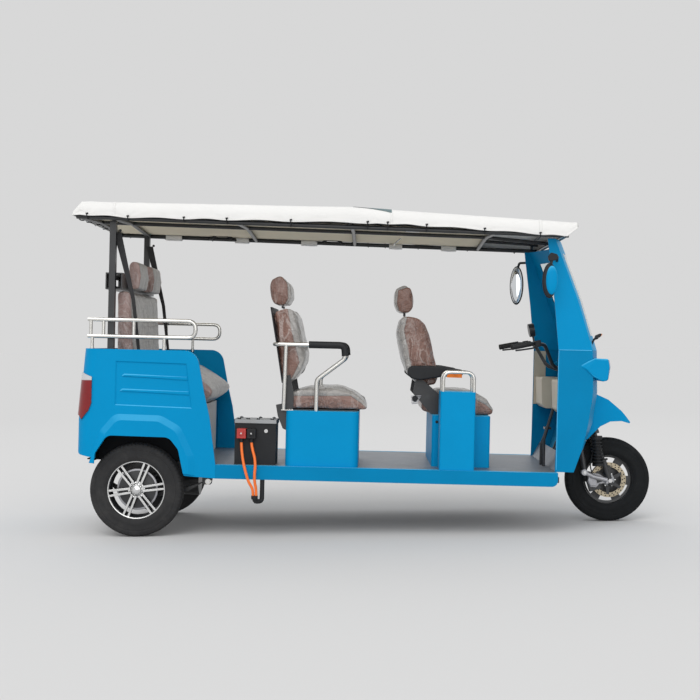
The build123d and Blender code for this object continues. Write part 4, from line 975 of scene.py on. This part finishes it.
def bar_on_wheel(name, centre, side, angle, ends, across, widths, depth, look, body,
                 bevel=1.2):
    """A straight bar on a wheel's face, from one radius to another and between two depths."""
    ca, sa = math.cos(angle), math.sin(angle)
    points = []
    for y in depth:
        for r, off, w in zip(ends, across, widths):
            for s in (-1, 1):
                t = off + s * w / 2
                points.append((centre.x + (r * ca - t * sa) / 1000, centre.y + side * y / 1000,
                               centre.z + (r * sa + t * ca) / 1000))
    faces = [(0, 1, 3, 2), (4, 6, 7, 5), (0, 4, 5, 1), (2, 3, 7, 6), (0, 2, 6, 4), (1, 5, 7, 3)]
    piece = mesh_piece(name, points, faces, look, body, smooth=False)
    return add_bevel(piece, bevel / 1000, 2)


def around(centre, radius, angle, out=0.0):
    """A point so far from the middle of a wheel, in metres."""
    return centre + Vector((radius * math.cos(angle), out, radius * math.sin(angle)))


# Share of the tyre's depth and of its half width, from the rim over the wall to the middle
TYRE_WALL = [(0.20, 0.97), (0.33, 1.0), (0.345, 0.985), (0.50, 1.0), (0.62, 0.985), (0.635, 0.955),
             (0.70, 0.95), (0.715, 0.975), (0.80, 0.95), (0.88, 0.90), (0.94, 0.83), (0.972, 0.72),
             (0.985, 0.58), (0.985, 0.575), (0.93, 0.55), (0.93, 0.47), (0.988, 0.45),
             (0.996, 0.20), (0.996, 0.19), (0.935, 0.17), (0.935, 0.06), (0.998, 0.04), (1.0, 0.0)]
LUG_DEPTH, SIPE_DEPTH = 5.5, 4.0


def build_tyre(name, replaced, joint, side, radius, rim, half, body, pitch, segments,
               look="tyre"):
    right = [(rim - 2, 0.76 * half), (rim + 4, 0.80 * half), (rim + 9, 0.88 * half)]
    right += [(rim + (radius - rim) * share, half * wide) for share, wide in TYRE_WALL]
    left = [(r, -y) for r, y in reversed(right[:-1])]
    rows = right + left + [(right[0][0], -right[0][1] * 0.9), right[0]]

    def cut(k, r, y):
        share = (r - rim) / (radius - rim)
        wide = abs(y) / half
        if share > 0.86 and wide > 0.60:
            return (LUG_DEPTH if k % pitch == 0 else 0.0) * min(1, (wide - 0.60) * 8)
        if share > 0.9 and wide <= 0.45 and (k + (2 if y > 0 else 0)) % (2 * pitch) == 0:
            return SIPE_DEPTH
        return 0.0

    centre = Vector(joint_place(joint))
    tyre = turned(name, rows, centre, side, look, body, segments, cut)
    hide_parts(replaced)


# Turned parts of a rear wheel: profile, look, slot, segments
REAR_WHEEL = {
    "rim_lip": ([(158, 20), (160.5, 36), (162, 38.6), (168.5, 39.6), (169.5, 38), (168, 33),
                 (160, 28)], "alloy", "alloy", 128),
    "rim_barrel": ([(160, 30), (157, 24), (154, -6), (150, -30), (158, -36), (168, -38),
                    (168, -34), (156, -30), (157, 0)], "plastic", "alloy", 96),
    "drum": ([(0.5, 6), (70, 6), (92, 3), (108, 2), (113, -4), (113, -26), (60, -30), (0.5, -30)],
             "black", "black_frame", 72),
    "drum_edge": ([(109, 2.4), (114, 2.2), (119, 0.4), (120.5, -3.5), (118.5, -4), (113.4, -1)],
                  "cast", "disc_steel", 96),
    "hub": ([(0.5, 37), (14, 37), (23, 35.5), (26, 33), (28, 28), (38, 27), (46, 23), (48, 14),
             (40, 6), (0.5, 6)], "alloy", "alloy", 72),
    "hub_cap": ([(0.5, 41.5), (11, 41), (17, 39.6), (19.5, 37.6), (19.5, 36)],
                "chrome", "alloy", 6),
}
for side, word in SIDES:
    body = f"rear_wheel_{word}"
    centre = Vector(joint_place(body + "_turn"))
    build_tyre(f"rear_{word}_tread_tyre", f"rear_tyre_{word}", body + "_turn", side,
               272.0, 166.0, 50.5, body, 4, 288)
    for part, (profile, look, slot, segments) in REAR_WHEEL.items():
        made = turned(f"rear_{word}_{part}", profile, centre, side, look, body, segments)
        if part == "rim_barrel":
            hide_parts(f"rear_rim_{word}")
    for n in range(6):
        angle = math.radians(7 + 60 * n)
        for k, sign in enumerate((-1, 1)):
            across = (sign * 11.5, sign * 15.0)
            bar_on_wheel(f"rear_{word}_spoke_{n}_{k}", centre, side, angle, (30, 160), across,
                         (14, 13), (21, 31), "plastic", body)
            bar_on_wheel(f"rear_{word}_spoke_face_{n}_{k}", centre, side, angle, (34, 161), across,
                         (13, 12), (31, 33.2), "alloy", body, bevel=0.8)
        middle = around(centre, 0.045, angle)
        turned(f"rear_{word}_bolt_seat_{n}", [(9.5, 30.5), (9.5, 24), (6, 24), (6, 22)], middle,
               side, "plastic", body, 20)
        turned(f"rear_{word}_bolt_{n}", [(0.3, 29), (4, 28.6), (5.5, 27.5), (5.8, 22)], middle,
               side, "chrome", body, 12)
    valve = around(centre, 0.148, 0.62, side * 0.030)
    rod(f"rear_{word}_valve", [valve, valve + Vector((-0.012, side * 0.014, -0.008))], 0.0028,
        "plastic", body)

front = Vector(joint_place("front_wheel_turn"))


def front_turned(name, profile, look, segments, middle=front):
    return turned(name, profile, middle, -1, look, "front_wheel", segments)


build_tyre("front_tread_tyre", "front_tyre", "front_wheel_turn", -1, 257.0, 152.0, 47.0,
           "front_wheel", 5, 240, "tyre_dark")
lip = [(146, 20), (150, 34), (152, 36), (156, 36.5), (156.5, 34), (149, 24)]
front_turned("front_rim_lip", lip + [(146, 0)] + [(r, -y) for r, y in reversed(lip)], "black",
             96)
web = front_turned("front_rim_ring", [(134, 7), (148, 9), (148, -9), (134, -7), (134, 7)], "black",
                   96)
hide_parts("front_rim")
front_turned("front_rim_plate", [(101, 6), (101, -6), (40, -10), (0.5, -10), (0.5, 10), (40, 10),
                                 (101, 6)], "black", 96)
for n in range(6):
    bar_on_wheel(f"front_rim_arm_{n}", front, -1, math.radians(55 + 60 * n), (96, 140), (0, 0),
                 (50, 58), (-6.5, 6.5), "black", "front_wheel", 2.5)
hub = [(0.5, 48), (17, 48), (18, 40), (36, 34), (40, 26)]
front_turned("front_hub", hub + [(r, -y) for r, y in reversed(hub)], "black", 48)
for n in range(6):
    bolt = around(front, 0.040, math.radians(60 * n))
    front_turned(f"front_disc_bolt_{n}", [(0.3, 59), (3.2, 58.7), (4.4, 57.6), (4.6, 54)], "chrome",
                 8, bolt)

# Stainless tubes of the seats and of the rear body
ARM_NEAR, ARM_FAR, ARM_TOP = -500, 60, 1136
arms = []
for y, word in ((ARM_NEAR, "near"), (ARM_FAR, "far")):
    arms += bars(f"arm_side_{word}", 13, "steel", 42,
                 [(1034, y, 755), (1034, y, 935), (1195, y, 1060), (1190, y, ARM_TOP),
                  (900, y, ARM_TOP)], slot="stainless")
    bars(f"arm_post_{word}", 12, "steel", 0, [(846, y, 758), (853, y, 1135)], slot="stainless")
    slab(f"arm_foot_{word}", oblong(832, 905, 755, 760), y - 15, y + 15, "steel",
         bevel=1.5)
    for x in (882, 896):
        bar(f"arm_foot_screw_{x}_{word}", [(x, y, 759), (x, y, 763)], 4.5, "chrome",
            sides=2)
bars("arm_back", 13, "steel", 42,
     [(900, ARM_NEAR, ARM_TOP), (785, ARM_NEAR, ARM_TOP), (785, ARM_FAR, ARM_TOP),
      (900, ARM_FAR, ARM_TOP)], slot="stainless")
for y in (-532, -392):
    bars(f"post_rail_{-y}", 10, "steel", 45,
         [(1762, y, 886), (1762, y, 998), (1938, y, 998), (1938, y, 886)], slot="stainless")
for x in (1830, 1880):
    bars(f"post_cross_{x}", 8, "steel", 0, [(x, -532, 998), (x, -392, 998)], slot="stainless")
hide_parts("hand_rails")
for side, word in SIDES:
    y = side * 530
    guards = bars(f"guard_rail_{word}", 12, "steel", 47,
                  [(-290, y, 1256), (332, y, 1256), (332, y, 1160), (-290, y, 1160)],
                  slot="stainless")
    for part, radius, low, high, spots in (
        ("upright", 9.5, 1161, 1255, (-273, -200, -25)),
        ("foot", 9.5, 1073, 1159, (-264, 152)),
        ("collar", 13, 1088, 1092, (-264, 152)),
    ):
        bars(f"guard_{part}_{word}", radius, "steel", 0,
             *[[(x, y, low), (x, y, high)] for x in spots], slot="stainless")
    if side < 0:
        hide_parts("luggage_rails")


# Battery lid, terminals and plugs
slab("battery_lid_grey", oblong(563, 807, 674, 697.6), -490.6, -317, "grey",
     bevel=3)
TERMINALS = ((588, -470), (640, -470), (700, -470), (780, -470), (588, -345), (700, -345),
             (780, -345))
for n, (x, y) in enumerate(TERMINALS):
    bar(f"battery_terminal_{n}", [(x, y, 697), (x, y, 703)], 11, "plastic")
    bar(f"battery_bolt_{n}", [(x, y, 702), (x, y, 707)], 5, "chrome", sides=1)
bar("battery_button", [(747, -483, 632), (747, -490.5, 632)], 11, "chrome", sides=4)
bar("battery_button_ring", [(747, -483, 632), (747, -488, 632)], 15, "plastic", sides=4)
slab("socket_black", oblong(641, 691, 589, 646), -533, -485, "plastic",
     bevel=3)
plug = slab("socket_red", oblong(582, 635, 589, 646), -533, -485, "red",
            bevel=3)
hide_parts("battery_sockets")
for n, (x, look) in enumerate(((608, "red"), (666, "plastic"))):
    slab(f"socket_latch_{n}", oblong(x - 12, x + 12, 606, 632), -538, -532, look, bevel=2)
    bar(f"socket_pin_{n}", [(x, -538, 619), (x, -540, 619)], 5, "chrome", sides=2)
    bar(f"socket_boot_{n}", [(x, -512, 592), (x, -512, 566)], 10.5, "plastic", sides=4)

# Front wheel: brake disc, carrier, caliper, boots and coils
ring = front_turned("brake_disc_ring", [(79, 50.2), (107, 50.2), (107, 53.8), (79, 53.8),
                                        (79, 50.2)], "brass", 96)
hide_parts("brake_disc")
for n in range(24):
    for k, r in enumerate((86, 99)):
        a = math.radians(15 * n) + 0.07 * k
        spot = front + Vector((r * math.cos(a), 0, r * math.sin(a))) / 1000
        front_turned(f"disc_hole_{n}_{k}", [(0.2, 54.1), (4.2, 54.1), (4.4, 53.5)], "plastic",
                     10, spot)
for n in range(6):
    bar_on_wheel(f"disc_petal_{n}", front, -1, math.radians(20 + 60 * n), (28, 88), (0, 9),
                 (26, 17), (51, 56), "black", "front_wheel", 1.5)
front_turned("disc_carrier", [(0.5, 60), (20, 60), (34, 58), (38, 54), (38, 49)], "grey",
             40)

# The fork is drawn from the front wheel's middle
FORK_X, FORK_Z = 2818, 257
COIL_TURNS, COIL_STEPS, COIL_RADIUS = 8, 14, 0.0315


def on_fork(x, y, z):
    return ground(FORK_X + x, y, FORK_Z + z)


def fork_bar(name, points, radius, look, bend=0, sides=4):
    return bar(name, points, radius, look, "steering", bend, sides)


def fork_slab(name, outline, y0, y1, look, corner, bevel):
    moved = [(x + FORK_X, z + FORK_Z) for x, z in outline]
    slab(name, moved, y0, y1, look, "steering", corner, bevel, ground)


for side, word in SIDES:
    low, high = at(2744, side * 94, 452), at(2727, side * 94, 606)
    lean, sideways = (high - low).normalized(), Vector((0, 1, 0))
    lead = lean.cross(sideways).normalized()
    coil = []
    for k in range(COIL_TURNS * COIL_STEPS + 1):
        a = 2 * math.pi * k / COIL_STEPS
        out = (lead * math.cos(a) + sideways * math.sin(a)) * COIL_RADIUS
        coil.append(low + (high - low) * (k / (COIL_TURNS * COIL_STEPS)) + out)
    spring = rod(f"fork_coil_{word}", coil, 0.0052, "plastic", "steering", sides=2)
    if side < 0:
        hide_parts("fork_springs")
    for part, start, end, radius in (
        ("boot", low + lean * 0.001, high, 0.0245),
        ("cap", high - lean * 0.004, high + lean * 0.012, 0.039),
        ("cup", low - lean * 0.012, low + lean * 0.002, 0.036),
    ):
        rod(f"fork_{part}_{word}", [start, end], radius, "plastic", "steering",
            sides=5)
for side, word in SIDES:
    fork_bar(f"fork_rear_leg_{word}",
             [(2650, side * 84, 640), (2636, side * 88, 560), (2664, side * 92, 402)],
             16, "black", 60)
    fork_bar(f"fork_link_{word}",
             [(2660, side * 100, 398), (2716, side * 100, 372), (2800, side * 100, 354)],
             13.5, "cast", 30)
    fork_bar(f"fork_pivot_{word}", [(2660, side * 80, 398), (2660, side * 116, 398)], 19, "cast")
    fork_bar(f"fork_pivot_nut_{word}", [(2660, side * 114, 398), (2660, side * 121, 398)], 10,
             "chrome", sides=1)
fork_slab("caliper_bracket",
          [(-128, 30), (-118, 46), (-62, 40), (-30, 20), (14, 12), (18, -14), (-20, -18),
           (-60, -22), (-80, -44), (-116, -40), (-132, -10)], -78, -63, "cast", 8, 3)
fork_slab("caliper_body", [(-126, 34), (-84, 40), (-72, 4), (-78, -32), (-118, -34), (-132, 0)],
          -92, -76, "cast", 8, 5)
fork_slab("axle_lug", [(-26, 20), (14, 16), (22, 0), (14, -18), (-26, -20)], -104, -76, "cast",
          8, 4)
rod("axle_nut", [on_fork(0, -103, 0), on_fork(0, -113, 0)], 0.013, "chrome", "steering",
    sides=1)
hose = [(-104, -84, 40), (-118, -92, 90), (-100, -98, 190), (-104, -90, 290)]
rod("brake_hose", [on_fork(*p) for p in hose], 0.004, "plastic", "steering", 0.05)


# Door mirrors, headlamp wedges, painted seam highlights, indicators and the bar's controls
def mirror_shell(name, centre, semi, yaw, look, power):
    points, wide, rows = [], 32, 12
    for r in range(rows + 1):
        b = -math.pi / 2 + math.pi * r / rows
        swell = math.cos(b) ** power if math.cos(b) > 1e-6 else 0.0
        y = semi[1] * math.sin(b)
        for k in range(wide):
            a = 2 * math.pi * k / wide
            x, z = semi[0] * swell * math.cos(a), semi[2] * swell * math.sin(a)
            points.append(at(centre[0] + x * math.cos(yaw) - y * math.sin(yaw),
                             centre[1] + x * math.sin(yaw) + y * math.cos(yaw), centre[2] + z))
    faces = grid_faces(rows + 1, wide, True)
    return mesh_piece(name, points, faces, look)


shell = mirror_shell("mirror_shell_right", (2356, -604, 1533), (34, 14, 82), 0.10, "blue", 0.55)
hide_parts("door_mirrors")
mirror_shell("mirror_back_right", (2345, -596, 1531), (42, 12, 100), 0.10, "plastic", 0.4)
mirror_shell("mirror_shell_left", (2312, 608, 1566), (46, 11, 130), -0.2, "plastic", 0.4)
mirror_shell("mirror_ring_left", (2309, 600, 1566), (39, 9, 121), -0.2, "chrome", 0.3)
mirror_shell("mirror_face_left", (2308, 596, 1566), (34, 8, 115), -0.2, "mirror", 0.25)
bars("mirror_arm", 8, "plastic", 14,
     [(2400, -498, 1652), (2392, -560, 1668), (2360, -594, 1672), (2350, -598, 1620)],
     [(2392, 498, 1652), (2368, 560, 1716), (2326, 600, 1716), (2316, 606, 1680)],
     slot="black_plastic")
slab("mirror_clamp", [(2338, 1640), (2384, 1648), (2388, 1680), (2350, 1690), (2334, 1668)],
     -606, -580, "plastic", corner=8, bevel=4)
# x, z and half width of the headlamp wedge's outer face
WEDGE = [(2539, 1049, 500.4), (2590, 1076, 507), (2630, 1095, 511), (2709, 1094, 503),
         (2717, 1047, 503), (2709, 970, 503), (2678, 962, 506), (2622, 990, 511), (2584, 1024, 507)]
for side, word in SIDES:
    inner = [(max(x, 2600), z, 352) for x, z, _ in WEDGE]
    points = [at(x, side * y, z) for x, z, y in WEDGE + inner]
    pod = mesh_piece(f"headlamp_wedge_{word}", points, prism_faces(len(WEDGE)), "blue",
                     smooth=False)
    add_bevel(pod, 0.009, 3)
    lens = [(2708, 1088), (2716, 1048), (2716, 1040), (2706, 976), (2712, 976), (2722, 1040),
            (2722, 1052), (2714, 1090)]
    slab(f"headlamp_lens_{word}", lens, side * 364, side * 492, "lens",
         bevel=1.5)
    if side < 0:
        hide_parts("headlamps")
    y = side * 452
    bars(f"indicator_stalk_{word}", 6, "plastic", 8,
         [(2618, y, 1176), (2632, y, 1206), (2654, y, 1214)], slot="black_plastic")
    slab(f"indicator_{word}",
         [(2634, 1206), (2664, 1218), (2674, 1236), (2666, 1240), (2640, 1228)],
         side * 436, side * 468, "plastic", corner=4, bevel=3)
    slab(f"indicator_lens_{word}", [(2670, 1222), (2677, 1236), (2672, 1240), (2664, 1226)],
         side * 440, side * 464, "amber", bevel=1)
    # Painted highlight: thin pale-blue lines along the shield's seam and its rear edge
    y = side * 500.6
    bars(f"shield_seam_{word}", 1.8, "blue_painted_highlight", 0, [(2423, y, 1140), (2612, y, 1140)], sides=2)
    y = side * 500.4
    bars(f"shield_edge_{word}", 1.6, "blue_painted_highlight", 0, [(2423, y, 450), (2423, y, 1135)], sides=2)
switch = [(2318, 1150), (2352, 1158), (2350, 1196), (2316, 1190)]
slab("bar_switch_right", switch, -292, -248, "plastic", "steering", corner=6, bevel=4)
slab("bar_switch_left", switch, 248, 292, "plastic", "steering", corner=6, bevel=4)
for side, word in SIDES:
    lever = [(2344, side * 278, 1166), (2300, side * 300, 1146), (2240, side * 322, 1136),
             (2196, side * 336, 1130)]
    fork_bar(f"brake_lever_{word}", lever, 5.2, "black", 30, 3)

# Small things on the seats, posts and springs
slab("orange_tag", [(1786, 966), (1873, 965), (1873, 992), (1786, 994)], -470, -466, "tag", bevel=1)
for side, word in SIDES:
    eye = side * 372
    bar(f"spring_bolt_{word}", [(404, eye, 320), (404, eye + side * 34, 320)], 10, "chrome",
        sides=1)
    bar(f"spring_washer_{word}", [(404, eye, 320), (404, eye + side * 29, 320)], 17, "steel",
        sides=4)
for n in range(6):
    front_x, z = 1650 - 4 * n, -9 * n
    strip = [(1588 + n, z + 846), (front_x, z + 850), (front_x - 1, z + 845), (1588 + n, z + 841)]
    slab(f"recliner_strip_{n}", strip, -266, -256, "cast", bevel=1)
slab("middle_back_plate", [(753, 1350), (762, 1352), (797, 1150), (838, 912), (829, 912),
                           (789, 1150)], -462, 22, "plastic", bevel=2)
ARMREST = [(1562, 972), (1565, 1010), (1588, 1026), (1696, 1029), (1800, 1023), (1884, 1009),
           (1900, 991), (1884, 976), (1757, 962), (1640, 943), (1588, 950)]
for (side, word), y in zip(SIDES, (ARM_NEAR, ARM_FAR)):
    slab(f"armrest_{word}", ARMREST, side * 258, side * 330, "plastic",
                     corner=16, bevel=12)
    bars(f"arm_pad_{word}", 21, "plastic", 42, [(985, y, 1137), (1191, y, 1137), (1196, y, 1076)],
         slot="black_plastic")
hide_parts("arm_pads")
bar("recliner_knob", [(1612, -262, 830), (1612, -276, 830)], 18, "plastic", sides=4)
for side, word in SIDES:
    for n, x in enumerate((-160, -120)):
        y = side * 540
        bar(f"belt_anchor_{n}_{word}", [(x, y * 0.93, 1772), (x, y * 0.945, 1772)], 8, "plastic",
            sides=2)
for n, x in enumerate((1740, 1770, 1800)):
    z = 700 - 24 * n
    bar(f"box_vent_{n}", [(x, -360.4, z), (x, -361.6, z)], 9, "plastic")


# Stage and light
STAGE_HALF = 300.0
SUNS = {
    "key_sun": ((0.25, 0.75, -1.0), 0.9, 40.0),
    "front_sun": ((-0.15, 1.0, -0.25), 0.75, 50.0),
    "rim_sun": ((0.3, -0.8, -0.8), 0.25, 40.0),
}


def build_stage():
    corners = [(x * STAGE_HALF, y * STAGE_HALF, 0) for x, y in ((-1, -1), (1, -1), (1, 1), (-1, 1))]
    floor = mesh_piece("floor", corners, [(0, 1, 2, 3)])
    pale = bpy.data.materials.new("pale_floor")
    pale.use_nodes = True
    tree = pale.node_tree
    shader = tree.nodes["Principled BSDF"]
    far = node(tree, "VectorMath", {0: place_on(tree)}, operation="LENGTH").outputs["Value"]
    tone = mix_color(tree, ramp(tree, far, 2.0, 12.0), gray(0.655), gray(0.612))
    tree.links.new(tone, shader.inputs["Base Color"])
    shader.inputs["Roughness"].default_value = 1.0
    shader.inputs["Specular IOR Level"].default_value = 0.0
    floor.data.materials.append(pale)
    world = bpy.data.worlds.new("world")
    scene.world = world
    world.use_nodes = True
    tree = world.node_tree
    tree.nodes.clear()
    path = node(tree, "LightPath").outputs
    seen = calc(tree, "MAXIMUM", path["Is Camera Ray"], path["Is Transmission Ray"])
    seen = calc(tree, "MAXIMUM", seen, path["Is Glossy Ray"])
    light = node(tree, "Background", {"Color": gray(1.0), "Strength": 0.78})
    back = node(tree, "Background", {"Color": gray(0.686), "Strength": 1.0})
    blend = node(tree, "MixShader", {0: seen, 1: light.outputs[0], 2: back.outputs[0]})
    tree.links.new(blend.outputs[0], node(tree, "OutputWorld").inputs[0])
    for name, (toward, strength, angle) in SUNS.items():
        data = bpy.data.lights.new(name, "SUN")
        data.energy = strength
        data.angle = math.radians(angle)
        lamp = linked(name, data)
        lamp.rotation_mode = "QUATERNION"
        lamp.rotation_quaternion = Vector(toward).to_track_quat("-Z", "Y")


build_stage()
scene.view_settings.view_transform = "Standard"
